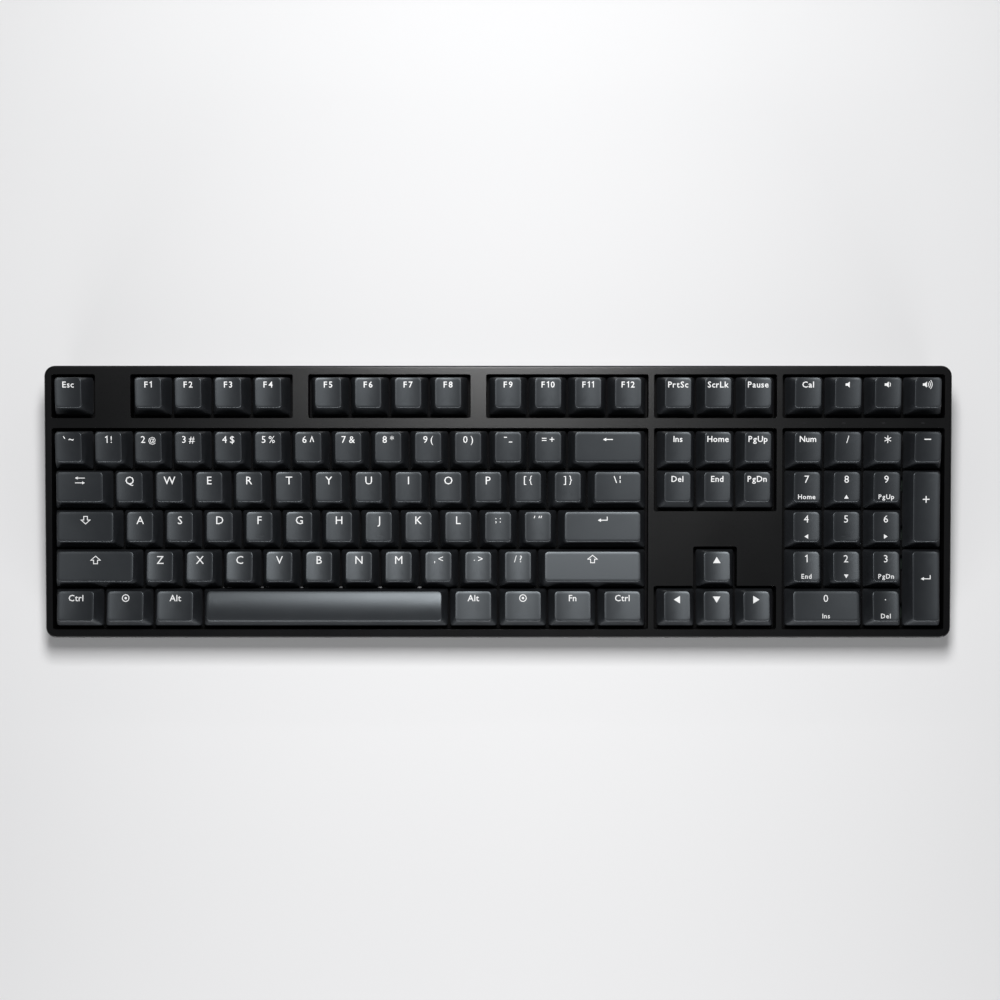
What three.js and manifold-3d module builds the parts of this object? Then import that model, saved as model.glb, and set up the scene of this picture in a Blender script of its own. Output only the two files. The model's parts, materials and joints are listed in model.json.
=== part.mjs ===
// A full-size mechanical keyboard: a two-piece wedge case, a steel plate and a circuit board, keycaps
// that travel straight down into the case, a stabilised space bar, one complete key switch under Esc,
// two folding feet, two rubber strips to stand on and a socket for a detachable lead.
//
// Frame: millimetres, +Z up, +X to the typist's right, +Y away from the typist, origin on the desk
// under the middle of the case. Everything above the parting line is built in the deck's own frame,
// whose z = 0 is the top of the plate, and the deck group is then turned by the typing angle.
import * as THREE from "three";
import { mergeVertices } from "three/addons/utils/BufferGeometryUtils.js";
import Module from "manifold-3d";

const wasm = await Module();
wasm.setup();

// ---------------------------------------------------------------- driving dimensions
const UNIT = 19.05; // pitch of one key
const UNITS_WIDE = 22.5; // key field, with two quarter-unit gaps
const ROWS_DEEP = 5; // rows of the main block
const F_ROW_PITCH = 25.9; // function row to number row, centre to centre
const TYPING_ANGLE = THREE.MathUtils.degToRad(5); // slope of the deck with the feet folded
const DECK_HEIGHT = 18.3; // desk to the top of the plate, under the middle of the case

const CASE_MARGIN = 5.2; // key field to the outside of the case, front and rear
const CASE_SIDE_MARGIN = 4.6; // the same at the two ends
const CASE_WALL = 2.4;
const CASE_CORNER = 5; // plan radius of the four corners
const CASE_ROUND = 1.2; // roundover of the upper outer edge
const CASE_TOP = 8.5; // bezel face above the plate
const BEZEL_THICK = 2.2;
const PARTING = -3; // parting line of the two shells
const PARTING_GAP = 0.3;
const FLOOR_THICK = 2.2;
const BASE_CHAMFER = 1.4; // lower outer edge
const STRIP_PROUD = 1.2; // rubber strips under the base

const OPENING_CLEAR = 1.05; // key field to the bezel's edge
const OPENING_CORNER = 0.9;
const COLLAR_THICK = 1.2; // rim that drops from each opening to the plate
const COLLAR_GAP = 0.6; // rim to plate

const PLATE_THICK = 1.5;
const PLATE_CLEAR = 0.6; // plate edge to case wall
const CUTOUT = 14; // square hole for a switch
const STAB_CUTOUT = [6.8, 16.8]; // hole for a stabiliser post and its wire, across and along
const BOARD_DROP = 5; // top of plate to top of circuit board
const BOARD_THICK = 1.6;
const BOARD_REAR_INSET = 6; // room behind the board for the plug
const BOARD_CORNER = 3;
const FIT = 0.3; // gap between pieces that seat on each other

const BOSS_RADIUS = 2.5;
const SCREW = { well: 3.1, depth: 1.1, pilot: 1.1, reach: 6 }; // sunk head and pilot hole of a case screw
const BOSS_CLEAR = 0.7; // hole in the board around a boss

const TRAVEL = 4; // key stroke
const CAP_LIFT = 6.3; // lower edge of a keycap above the plate
const CAP_GAP = 0.9; // between neighbouring keycaps
const CAP_WALL = 1.5;
const CAP_SIDE_SLOPE = 2.74; // how far each side leans in, at the top
const CAP_TOP_DEPTH = 14.4;
const CAP_TOP_SHIFT = 1.3; // the top face sits behind the middle
const POST_RADIUS = 2.75;
const POST_LIFT = 6.9; // lower end of a keycap's post above the plate
const LINK = [1.6, 1.0]; // web between ganged keycaps, width and height

// Sculpted rows: the height of a cap's front and rear upper edges above its lower edge.
const PROFILES = {
  far: { front: 10.4, rear: 11.5 },
  upper: { front: 8.9, rear: 9.4 },
  home: { front: 8.6, rear: 8.6 },
  near: { front: 9.4, rear: 8.9 },
};

// ---------------------------------------------------------------- key layout
// Each key is [name, left edge, row, width, depth] in units; the row counts down from 1, and 0 is the
// function row. Depth is 1 unless stated, and a deeper key reaches into the row below.
const run = (names, left, row) => names.map((name, i) => [name, left + i, row]);
const letters = (text, left, row) => run([...text].map((c) => "key_" + c), left, row);

const SINGLE_KEYS = [
  ["esc_keycap", 0, 0],
  ["tab_key", 0, 2, 1.5],
  ...letters("qwertyuiop", 1.5, 2),
  ["caps_lock_key", 0, 3, 1.75],
  ...letters("asdfghjkl", 1.75, 3),
  ["enter_key", 12.75, 3, 2.25],
  ["left_shift_key", 0, 4, 2.25],
  ...letters("zxcvbnm", 2.25, 4),
  ["space_bar", 3.75, 5, 6.25],
];

// Keys that share one node and move as a gang. A bank is a straight run of one row, or a block.
const KEY_BANKS = {
  f1_to_f4_keys: run(["f1", "f2", "f3", "f4"], 2, 0),
  f5_to_f8_keys: run(["f5", "f6", "f7", "f8"], 6.5, 0),
  f9_to_f12_keys: run(["f9", "f10", "f11", "f12"], 11, 0),
  system_keys: run(["print_screen", "scroll_lock", "pause"], 15.25, 0),
  media_keys: run(["calculator", "mute", "quieter", "louder"], 18.5, 0),
  number_row_keys: [...run([..."`1234567890-="], 0, 1), ["backspace", 13, 1, 2]],
  bracket_keys: [...run(["open_bracket", "close_bracket"], 11.5, 2), ["backslash", 13.5, 2, 1.5]],
  quote_keys: run(["semicolon", "quote"], 10.75, 3),
  lower_right_keys: [...run(["comma", "full_stop", "slash"], 9.25, 4), ["right_shift", 12.25, 4, 2.75]],
  left_modifier_keys: [
    ["ctrl", 0, 5, 1.25],
    ["system", 1.25, 5, 1.25],
    ["alt", 2.5, 5, 1.25],
  ],
  right_modifier_keys: [
    ["alt", 10, 5, 1.25],
    ["system", 11.25, 5, 1.25],
    ["fn", 12.5, 5, 1.25],
    ["ctrl", 13.75, 5, 1.25],
  ],
  navigation_keys: [
    ...run(["insert", "home", "page_up"], 15.25, 1),
    ...run(["delete", "end", "page_down"], 15.25, 2),
  ],
  arrow_keys: [["up", 16.25, 4], ...run(["left", "down", "right"], 15.25, 5)],
  number_pad_keys: [
    ...run(["num_lock", "divide", "multiply", "minus"], 18.5, 1),
    ...run(["num_7", "num_8", "num_9"], 18.5, 2),
    ["plus", 21.5, 2, 1, 2],
    ...run(["num_4", "num_5", "num_6"], 18.5, 3),
    ...run(["num_1", "num_2", "num_3"], 18.5, 4),
    ["num_enter", 21.5, 4, 1, 2],
    ["num_0", 18.5, 5, 2],
    ["decimal", 20.5, 5],
  ],
};

// Bezel openings: [left, right, first row, last row] in units; pieces of one opening are joined.
const OPENINGS = [
  [[0, 1, 0, 0]],
  [[2, 6, 0, 0]],
  [[6.5, 10.5, 0, 0]],
  [[11, 15, 0, 0]],
  [[15.25, 18.25, 0, 0]],
  [[18.5, 22.5, 0, 0]],
  [[0, 15, 1, 5]],
  [[15.25, 18.25, 1, 2]],
  [
    [15.25, 18.25, 5, 5],
    [16.25, 17.25, 4, 5],
  ],
  [[18.5, 22.5, 1, 5]],
];

// Case bosses under the plate, clear of every switch: [units from the left, row].
const BOSSES = [
  ...[1.25, 6.25, 10.75, 15.125, 18.375].map((units) => [units, 0.5]),
  ...[15.125, 18.375].map((units) => [units, 4]),
  ...[2.5, 11.25].map((units) => [units, 4.5]),
];

const WIDTH = UNITS_WIDE * UNIT + 2 * CASE_SIDE_MARGIN;
const FIELD_DEPTH = F_ROW_PITCH + ROWS_DEEP * UNIT;
const DEPTH = FIELD_DEPTH + 2 * CASE_MARGIN;
const NUMBER_ROW_Y = FIELD_DEPTH / 2 - UNIT / 2 - F_ROW_PITCH;

const unitX = (units) => (units - UNITS_WIDE / 2) * UNIT;
const rowY = (row) => NUMBER_ROW_Y + (row < 1 ? (1 - row) * F_ROW_PITCH : (1 - row) * UNIT);

// ---------------------------------------------------------------- solids
// A closed geometry as a solid for joining and cutting, and a solid back as a geometry.
function solid(geometry) {
  const bare = geometry.clone();
  bare.deleteAttribute("normal");
  bare.deleteAttribute("uv");
  const merged = mergeVertices(bare, 1e-4);
  return new wasm.Manifold(
    new wasm.Mesh({
      numProp: 3,
      vertProperties: merged.attributes.position.array,
      triVerts: new Uint32Array(merged.index.array),
    }),
  );
}

function geometryOf(manifold) {
  const mesh = manifold.getMesh();
  const geometry = new THREE.BufferGeometry();
  geometry.setAttribute("position", new THREE.BufferAttribute(mesh.vertProperties, 3));
  geometry.setIndex(new THREE.BufferAttribute(mesh.triVerts, 1));
  return geometry.toNonIndexed();
}

const joined = (solids) => solids.reduce((all, next) => all.add(next));

function box(width, depth, bottom, top, x = 0, y = 0) {
  const geometry = new THREE.BoxGeometry(width, depth, top - bottom);
  return geometry.translate(x, y, (bottom + top) / 2);
}

// An upright cylinder; sides is small because most of them are hidden pins and bosses.
function rod(radius, bottom, top, x = 0, y = 0, sides = 8) {
  const geometry = new THREE.CylinderGeometry(radius, radius, top - bottom, sides);
  return geometry.rotateX(Math.PI / 2).translate(x, y, (bottom + top) / 2);
}

// Skins a stack of rings, lowest first, each an anticlockwise list of Vector3 of one length.
function loft(rings) {
  const count = rings[0].length;
  const index = [];
  for (let r = 0; r + 1 < rings.length; r++)
    for (let i = 0; i < count; i++) {
      const [a, b] = [r * count + i, r * count + ((i + 1) % count)];
      index.push(a, b, b + count, a, b + count, a + count);
    }
  const last = (rings.length - 1) * count;
  for (let i = 1; i + 1 < count; i++) {
    index.push(0, i + 1, i);
    index.push(last, last + i, last + i + 1);
  }
  const geometry = new THREE.BufferGeometry().setFromPoints(rings.flat());
  geometry.setIndex(index);
  return geometry.toNonIndexed();
}

// Outline points of a rectangle with round corners, drawn in by inset, and the Shape of it.
function roundedOutline(x0, x1, y0, y1, radius, steps, inset = 0) {
  const centres = [
    [x1 - radius, y1 - radius],
    [x0 + radius, y1 - radius],
    [x0 + radius, y0 + radius],
    [x1 - radius, y0 + radius],
  ];
  return centres.flatMap(([cx, cy], corner) =>
    Array.from({ length: steps + 1 }, (_, i) => {
      const angle = ((corner + i / steps) * Math.PI) / 2;
      const r = radius - inset;
      return new THREE.Vector2(cx + r * Math.cos(angle), cy + r * Math.sin(angle));
    }),
  );
}

const caseOutline = (inset) =>
  roundedOutline(-WIDTH / 2, WIDTH / 2, -DEPTH / 2, DEPTH / 2, CASE_CORNER, 5, inset);
const level = (outline, z) => outline.map((p) => new THREE.Vector3(p.x, p.y, z));

function slab(outline, bottom, top, holes = []) {
  const shape = new THREE.Shape(outline);
  shape.holes = holes.map((points) => new THREE.Path(points));
  const settings = { depth: top - bottom, bevelEnabled: false, curveSegments: 4 };
  return new THREE.ExtrudeGeometry(shape, settings).translate(0, 0, bottom);
}

// ---------------------------------------------------------------- upper case
function openingOutlines(grow) {
  const reach = OPENING_CLEAR + grow;
  return OPENINGS.map((pieces) =>
    pieces.map(([left, right, first, last]) =>
      roundedOutline(
        unitX(left) - reach,
        unitX(right) + reach,
        rowY(last) - UNIT / 2 - reach,
        rowY(first) + UNIT / 2 + reach,
        OPENING_CORNER + grow,
        2,
      ),
    ),
  );
}

function topCase() {
  const roundSteps = [0, 1, 2, 3].map((i) => (i / 3) * (Math.PI / 2));
  const shell = solid(
    loft([
      level(caseOutline(0), PARTING),
      ...roundSteps.map((angle) =>
        level(
          caseOutline(CASE_ROUND * (1 - Math.cos(angle))),
          CASE_TOP - CASE_ROUND * (1 - Math.sin(angle)),
        ),
      ),
    ]),
  );
  const hollow = solid(slab(caseOutline(CASE_WALL), PARTING - 1, CASE_TOP - BEZEL_THICK));
  const bury = 0.5; // how far a rim runs up into the bezel
  const rims = openingOutlines(COLLAR_THICK)
    .flat()
    .map((outline) => solid(slab(outline, COLLAR_GAP, CASE_TOP - BEZEL_THICK + bury)));
  const holes = openingOutlines(0)
    .flat()
    .map((outline) => solid(slab(outline, PARTING, CASE_TOP + 1)));
  const inside = solid(slab(caseOutline(CASE_WALL / 2), PARTING, CASE_TOP - BEZEL_THICK + bury));
  return shell.subtract(hollow).add(joined(rims).intersect(inside)).subtract(joined(holes));
}

// ---------------------------------------------------------------- lower case
const deckMatrix = new THREE.Matrix4().makeRotationX(TYPING_ANGLE).setPosition(0, 0, DECK_HEIGHT);
const onDeck = (x, y, z) => new THREE.Vector3(x, y, z).applyMatrix4(deckMatrix);
// Height in the deck's frame, at depth y, of a level plane at this height above the desk.
const deckZ = (height, y) =>
  (height - DECK_HEIGHT - y * Math.sin(TYPING_ANGLE)) / Math.cos(TYPING_ANGLE);

const FOOT = {
  x: 165, // middle of each foot from the middle of the case
  hingeY: 57,
  width: 36,
  length: 21, // hinge to tip
  thick: 3,
  knuckle: 2.4,
  pin: 1.2,
  pinLength: 1.6,
  clear: 0.5, // foot to its pocket
  wall: 1.8, // of the pocket
};
FOOT.hingeZ = STRIP_PROUD + FOOT.knuckle + 0.2;

const STRIPS = {
  width: 7,
  recess: 0.8,
  front: { length: 360, y: -54 },
  rear: { length: 230, y: 55 },
};

const PORT = {
  x: -110,
  mouthY: DEPTH / 2 - 5, // face of the socket, in the deck's frame
  size: [8.94, 3.26, 7.35], // socket shell: width, height, length
  skin: 0.35,
  hole: [12.8, 7],
  holeCorner: 2.4,
};
PORT.z = -BOARD_DROP - BOARD_THICK - FIT - PORT.size[1] / 2;

// A ring of the lower case where its walls, which follow the deck's normal, meet a level plane.
const levelRing = (outline, height) => outline.map((p) => onDeck(p.x, p.y, deckZ(height, p.y)));
const partingRing = (outline, z) => outline.map((p) => onDeck(p.x, p.y, z));

function footPocket(side, grow) {
  const reach = FOOT.clear + grow;
  const front = FOOT.hingeY - FOOT.length - reach;
  const rear = FOOT.hingeY + FOOT.knuckle + reach;
  const top = FOOT.hingeZ + FOOT.knuckle + reach;
  const middle = (front + rear) / 2;
  return box(FOOT.width + 2 * reach, rear - front, STRIP_PROUD - 2, top, side * FOOT.x, middle);
}

function stripRecess(strip) {
  const width = STRIPS.width + 2 * FIT;
  return box(strip.length + 2 * FIT, width, STRIP_PROUD - 1, STRIP_PROUD + STRIPS.recess, 0, strip.y);
}

function bottomCase() {
  const top = PARTING - PARTING_GAP;
  const outside = solid(
    loft([
      levelRing(caseOutline(BASE_CHAMFER), STRIP_PROUD),
      levelRing(caseOutline(0), STRIP_PROUD + BASE_CHAMFER),
      partingRing(caseOutline(0), top),
    ]),
  );
  const hollow = solid(
    loft([
      levelRing(caseOutline(CASE_WALL), STRIP_PROUD + FLOOR_THICK),
      partingRing(caseOutline(CASE_WALL), top + 5),
    ]),
  );
  const bosses = BOSSES.map(([units, row]) => {
    const post = rod(BOSS_RADIUS, -40, -PLATE_THICK - FIT, unitX(units), rowY(row));
    return solid(post.applyMatrix4(deckMatrix));
  });
  const sides = [-1, 1];
  const pocketWalls = sides.map((side) => solid(footPocket(side, FOOT.wall)));
  const pinHole = new THREE.CylinderGeometry(FOOT.pin + FIT, FOOT.pin + FIT, FOOT.width + 8, 12);
  pinHole.rotateZ(Math.PI / 2);
  const cuts = sides.flatMap((side) => [
    solid(footPocket(side, 0)),
    solid(pinHole.clone().translate(side * FOOT.x, FOOT.hingeY, FOOT.hingeZ)),
  ]);
  cuts.push(solid(stripRecess(STRIPS.front)), solid(stripRecess(STRIPS.rear)), portHole());
  cuts.push(...BOSSES.flatMap(screwHole));
  const added = joined([...bosses, ...pocketWalls]).intersect(outside);
  return outside.subtract(hollow).add(added).subtract(joined(cuts));
}

// Well for a screw's head in the base, and its pilot hole up the boss.
function screwHole([units, row]) {
  const [x, y] = [unitX(units), rowY(row)];
  const low = deckZ(STRIP_PROUD, y);
  const base = onDeck(x, y, low);
  const pilot = rod(SCREW.pilot, low - 1, low + SCREW.reach, x, y);
  return [
    solid(rod(SCREW.well, STRIP_PROUD - 1, STRIP_PROUD + SCREW.depth, base.x, base.y, 16)),
    solid(pilot.applyMatrix4(deckMatrix)),
  ];
}

function portHole() {
  const [width, height] = PORT.hole;
  const outline = roundedOutline(-width / 2, width / 2, -height / 2, height / 2, PORT.holeCorner, 3);
  const bore = slab(outline, 0, CASE_WALL + 4)
    .rotateX(Math.PI / 2)
    .translate(PORT.x, DEPTH / 2 + 2, PORT.z);
  return solid(bore.applyMatrix4(deckMatrix));
}

// Rubber strip with rounded ends, standing proud of the base.
function rubberStrip(strip) {
  const [half, end] = [strip.length / 2, STRIPS.width / 2];
  const outline = roundedOutline(-half, half, strip.y - end, strip.y + end, end - 0.1, 4);
  return slab(outline, 0, STRIP_PROUD + STRIPS.recess - FIT);
}

// Folding foot: a leg with a knuckle and two pins, lying forward of its hinge.
function foot() {
  const knuckle = new THREE.CylinderGeometry(FOOT.knuckle, FOOT.knuckle, FOOT.width, 12);
  const pins = new THREE.CylinderGeometry(FOOT.pin, FOOT.pin, FOOT.width + 2 * FOOT.pinLength, 12);
  const leg = new THREE.BoxGeometry(FOOT.width, FOOT.length, FOOT.thick);
  const hollow = new THREE.BoxGeometry(FOOT.width - 16, FOOT.length - 11, FOOT.thick);
  return solid(leg.translate(0, -FOOT.length / 2, 0))
    .subtract(solid(hollow.translate(0, -FOOT.length / 2 - 1, 1.2)))
    .add(solid(knuckle.rotateZ(Math.PI / 2)))
    .add(solid(pins.rotateZ(Math.PI / 2)));
}

// ---------------------------------------------------------------- keys
// Corner ring of a rectangle centred on the middle of a key.
function rectangle(width, front, rear, zFront, zRear) {
  const half = width / 2;
  return [
    new THREE.Vector3(half, front, zFront),
    new THREE.Vector3(half, rear, zRear),
    new THREE.Vector3(-half, rear, zRear),
    new THREE.Vector3(-half, front, zFront),
  ];
}

const profileOf = (row) => PROFILES[["far", "far", "upper", "home", "near", "near"][row]];

// Outer size of a key's cap and its place on the deck.
function capBox([, left, row, width = 1, depth = 1]) {
  return {
    x: unitX(left + width / 2),
    y: rowY(row) - ((depth - 1) * UNIT) / 2,
    width: width * UNIT - CAP_GAP,
    depth: depth * UNIT - CAP_GAP,
    profile: profileOf(row),
  };
}

// Distance of stabiliser posts from the middle of a key, or 0 for a key without them.
function stabReach(units) {
  if (units < 2) return 0;
  return units > 6 ? 50 : 11.94;
}

// Places of a key's posts, its own first, from the middle of the key.
function postPlaces([, , , width = 1, depth = 1]) {
  const across = stabReach(width);
  const along = stabReach(depth);
  const places = [[0, 0]];
  if (across) places.push([-across, 0], [across, 0]);
  if (along) places.push([0, -along], [0, along]);
  return places;
}

function capShell({ width, depth, profile }, inset) {
  const topWidth = width - 2 * CAP_SIDE_SLOPE;
  const extraDepth = depth - (UNIT - CAP_GAP);
  const topHalf = (CAP_TOP_DEPTH + extraDepth) / 2;
  const base = CAP_LIFT - (inset ? 1 : 0);
  const drop = inset ? CAP_WALL : 0;
  return loft([
    rectangle(width - 2 * inset, -depth / 2 + inset, depth / 2 - inset, base, base),
    rectangle(
      topWidth - 2 * inset,
      CAP_TOP_SHIFT - topHalf + inset,
      CAP_TOP_SHIFT + topHalf - inset,
      CAP_LIFT + profile.front - drop,
      CAP_LIFT + profile.rear - drop,
    ),
  ]);
}

// A keycap: a hollow tapered shell with a post for its switch and any stabiliser posts.
function keycap(key, postSides = 6) {
  const cap = capBox(key);
  const roof = CAP_LIFT + Math.min(cap.profile.front, cap.profile.rear) - CAP_WALL / 2;
  const posts = postPlaces(key).map(([x, y]) =>
    solid(rod(POST_RADIUS, POST_LIFT, roof, x, y, postSides)),
  );
  const shell = solid(capShell(cap, 0)).subtract(solid(capShell(cap, CAP_WALL)));
  return shell.add(joined(posts)).translate([cap.x, cap.y, 0]);
}

const span = (middle, size) => [middle - size / 2, middle + size / 2];
const overlap = (a, b) => [Math.max(a[0], b[0]), Math.min(a[1], b[1])];

// A web across the gap between two neighbouring caps, or null if they aren't neighbours.
function link(keyA, keyB) {
  const [a, b] = [capBox(keyA), capBox(keyB)];
  const x = overlap(span(a.x, a.width), span(b.x, b.width));
  const y = overlap(span(a.y, a.depth), span(b.y, b.depth));
  const [width, height] = LINK;
  const reach = CAP_GAP + 1.2 * CAP_WALL;
  const touching = ([low, high]) => Math.abs(low - high - CAP_GAP) < 0.01;
  const room = ([low, high]) => high - low > 2 * CAP_WALL + width;
  const place = [(x[0] + x[1]) / 2, (y[0] + y[1]) / 2];
  if (touching(x) && room(y)) return box(reach, width, CAP_LIFT, CAP_LIFT + height, ...place);
  if (touching(y) && room(x)) return box(width, reach, CAP_LIFT, CAP_LIFT + height, ...place);
  return null;
}

// Caps of a bank, each tied to a neighbour that is already tied in.
function keyBank(keys) {
  const tied = [keys[0]];
  const waiting = keys.slice(1);
  const webs = [];
  while (waiting.length) {
    const next = waiting.findIndex((key) => tied.some((other) => link(other, key)));
    if (next < 0) throw new Error(waiting[0][0] + " has no neighbour in its bank");
    const [key] = waiting.splice(next, 1);
    webs.push(solid(tied.map((other) => link(other, key)).find(Boolean)));
    tied.push(key);
  }
  return joined([...keys.map((key) => keycap(key)), ...webs]);
}

// The Esc cap also has the cross-shaped socket that its switch stem presses into.
function crossBar(size, thick, bottom, top) {
  return solid(box(size, thick, bottom, top)).add(solid(box(thick, size, bottom, top)));
}

const STEM = { cross: 4.1, blade: 1.2, shoulder: 6.6, top: 10.2, bottom: 0.8 };

function escKeycap(key) {
  const cap = capBox(key);
  const socketRadius = POST_RADIUS + 0.35;
  const roof = CAP_LIFT + cap.profile.front - CAP_WALL / 2;
  const collar = solid(rod(socketRadius, POST_LIFT, roof, cap.x, cap.y, 12));
  const socket = crossBar(STEM.cross + 0.4, STEM.blade + 0.4, POST_LIFT - 1, STEM.top + FIT);
  return keycap(key).add(collar).subtract(socket.translate([cap.x, cap.y, 0]));
}

// ---------------------------------------------------------------- switch, plate and board
const SWITCH = {
  flange: 15.6,
  body: CUTOUT - 2 * FIT,
  cavity: 10.8,
  split: 1, // top of the lower housing
  top: 6.2,
  coverWidth: 14.8, // at its foot, and at its top
  topWidth: 11.4,
  floor: -3.6,
  pin: 1.9, // locating pin through the board
  slot: [7.8, 6.8],
};

function switchBase() {
  const bottom = -BOARD_DROP + FIT;
  const body = solid(box(SWITCH.body, SWITCH.body, bottom, FIT + 0.2));
  const flange = solid(box(SWITCH.flange, SWITCH.flange, FIT, SWITCH.split));
  const pin = solid(rod(SWITCH.pin, bottom - 2.6, bottom + 0.4, 0, 0, 10));
  const seat = solid(rod(1.2, SWITCH.floor - 0.2, SWITCH.floor + 0.6));
  const cavity = solid(box(SWITCH.cavity, SWITCH.cavity, SWITCH.floor, SWITCH.split + 1));
  return body.add(flange).subtract(cavity).add(pin).add(seat);
}

function switchCover() {
  const bottom = SWITCH.split + FIT;
  const half = (width) => rectangle(width, -width / 2, width / 2);
  const ring = (width, z) => half(width).map((p) => p.setZ(z));
  const outside = solid(loft([ring(SWITCH.coverWidth, bottom), ring(SWITCH.topWidth, SWITCH.top)]));
  const hollow = solid(box(SWITCH.cavity, SWITCH.cavity, bottom - 1, SWITCH.top - 1.2));
  const slot = solid(box(...SWITCH.slot, bottom, SWITCH.top + 1));
  return outside.subtract(hollow).subtract(slot);
}

const SPRING = { radius: 1.6, wire: 0.4, turns: 5, bore: 2.1 };
SPRING.bottom = SWITCH.floor + SPRING.wire / 2 + 0.1;
SPRING.top = 3.6;

function switchStem() {
  const slider = solid(box(SWITCH.slot[0] - 2 * FIT, SWITCH.slot[1] - 2 * FIT, STEM.bottom, STEM.shoulder));
  const flange = solid(box(9.8, 8.6, STEM.bottom, STEM.bottom + 1.8));
  const cross = crossBar(STEM.cross, STEM.blade, STEM.shoulder - 0.5, STEM.top);
  const bore = solid(rod(SPRING.bore, STEM.bottom - 1, SPRING.top + SPRING.wire, 0, 0, 12));
  return slider.add(flange).add(cross).subtract(bore);
}

class Helix extends THREE.Curve {
  getPoint(t, target = new THREE.Vector3()) {
    const angle = t * SPRING.turns * 2 * Math.PI;
    const z = THREE.MathUtils.lerp(SPRING.bottom, SPRING.top, t);
    return target.set(SPRING.radius * Math.cos(angle), SPRING.radius * Math.sin(angle), z);
  }
}

function switchSpring() {
  const section = new THREE.Shape(new THREE.EllipseCurve(0, 0, SPRING.wire / 2, SPRING.wire / 2).getPoints(5));
  const settings = { steps: 9 * SPRING.turns, extrudePath: new Helix() };
  return new THREE.ExtrudeGeometry(section, settings);
}

const allKeys = [...SINGLE_KEYS, ...Object.values(KEY_BANKS).flat()];

function switchPlate() {
  const cutter = (x, y, width, depth) => solid(box(width, depth, -PLATE_THICK - 1, 1, x, y));
  const holes = allKeys.flatMap((key) => {
    const { x, y } = capBox(key);
    const turned = (key[4] ?? 1) > 1;
    const stabHole = turned ? [...STAB_CUTOUT].reverse() : STAB_CUTOUT;
    const [own, ...stabs] = postPlaces(key);
    return [
      cutter(x + own[0], y + own[1], CUTOUT, CUTOUT),
      ...stabs.map(([dx, dy]) => cutter(x + dx, y + dy, ...stabHole)),
    ];
  });
  const blank = solid(slab(caseOutline(CASE_WALL + PLATE_CLEAR), -PLATE_THICK, 0));
  return blank.subtract(joined(holes));
}

function circuitBoard() {
  const top = -BOARD_DROP;
  const inset = CASE_WALL + PLATE_CLEAR;
  const half = WIDTH / 2 - inset;
  const [front, rear] = [-DEPTH / 2 + inset, DEPTH / 2 - BOARD_REAR_INSET];
  const outline = roundedOutline(-half, half, front, rear, BOARD_CORNER, 2);
  const bottom = top - BOARD_THICK;
  const hole = (x, y, radius) => solid(rod(radius, bottom - 1, top + 1, x, y));
  const esc = capBox(SINGLE_KEYS[0]);
  const holes = BOSSES.map(([units, row]) =>
    hole(unitX(units), rowY(row), BOSS_RADIUS + BOSS_CLEAR),
  );
  holes.push(hole(esc.x, esc.y, SWITCH.pin + 0.6));
  return solid(slab(outline, bottom, top)).subtract(joined(holes));
}

// Socket for the lead: a flat oval tube, closed at the back, with a tongue inside.
function usbSocket() {
  const [width, height, length] = PORT.size;
  const oval = (inset) => {
    const [w, h] = [width / 2 - inset, height / 2 - inset];
    return roundedOutline(-w, w, -h, h, h - 0.05, 3);
  };
  const upright = solid(slab(oval(0), 0, length))
    .subtract(solid(slab(oval(PORT.skin), 1, length + 1)))
    .add(solid(box(6.6, 0.7, 0.5, length - 0.8)));
  const geometry = geometryOf(upright).rotateX(-Math.PI / 2);
  return geometry.translate(PORT.x, PORT.mouthY - length, PORT.z);
}

// Stabiliser wire of the space bar: a long bar that turns in its clips, with an arm at each end.
const WIRE = { radius: 0.8, reach: 9, pivotZ: 1.1 };
WIRE.tilt = Math.asin(TRAVEL / 2 / WIRE.reach); // of its arms, upwards, with the key at rest

function stabiliserWire() {
  const half = stabReach(6.25);
  const bar = new THREE.CylinderGeometry(WIRE.radius, WIRE.radius, 2 * half + 2 * WIRE.radius, 8);
  const arm = new THREE.CylinderGeometry(WIRE.radius, WIRE.radius, WIRE.reach, 8);
  arm.translate(0, -WIRE.reach / 2, 0).rotateX(-WIRE.tilt);
  const arms = [-half, half].map((x) => solid(arm.clone().translate(x, 0, 0)));
  return solid(bar.rotateZ(Math.PI / 2)).add(joined(arms));
}

// ---------------------------------------------------------------- assembly
const material = (color, roughness, metalness = 0) =>
  new THREE.MeshStandardMaterial({ color, roughness, metalness });
const MATERIALS = {
  caseBlack: material(0x18191b, 0.55),
  capGrey: material(0x3c3e42, 0.6),
  modifierGrey: material(0x34373d, 0.6),
  plateBlack: material(0x101112, 0.45, 0.6),
  board: material(0x16241c, 0.5),
  rubber: material(0x141414, 0.9),
  metal: material(0xb8babd, 0.3, 1),
  housing: material(0x1c1d1f, 0.4),
  stem: material(0x8c2f2b, 0.45),
};

const keyboard = new THREE.Group();
const deck = new THREE.Group();
deck.rotation.x = TYPING_ANGLE;
deck.position.z = DECK_HEIGHT;
keyboard.add(deck);

function place(parent, name, shape, finish, position = [0, 0, 0]) {
  const geometry = shape.isBufferGeometry ? shape : geometryOf(shape);
  const mesh = new THREE.Mesh(geometry, finish);
  mesh.name = name;
  mesh.position.set(...position);
  parent.add(mesh);
}

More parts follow.
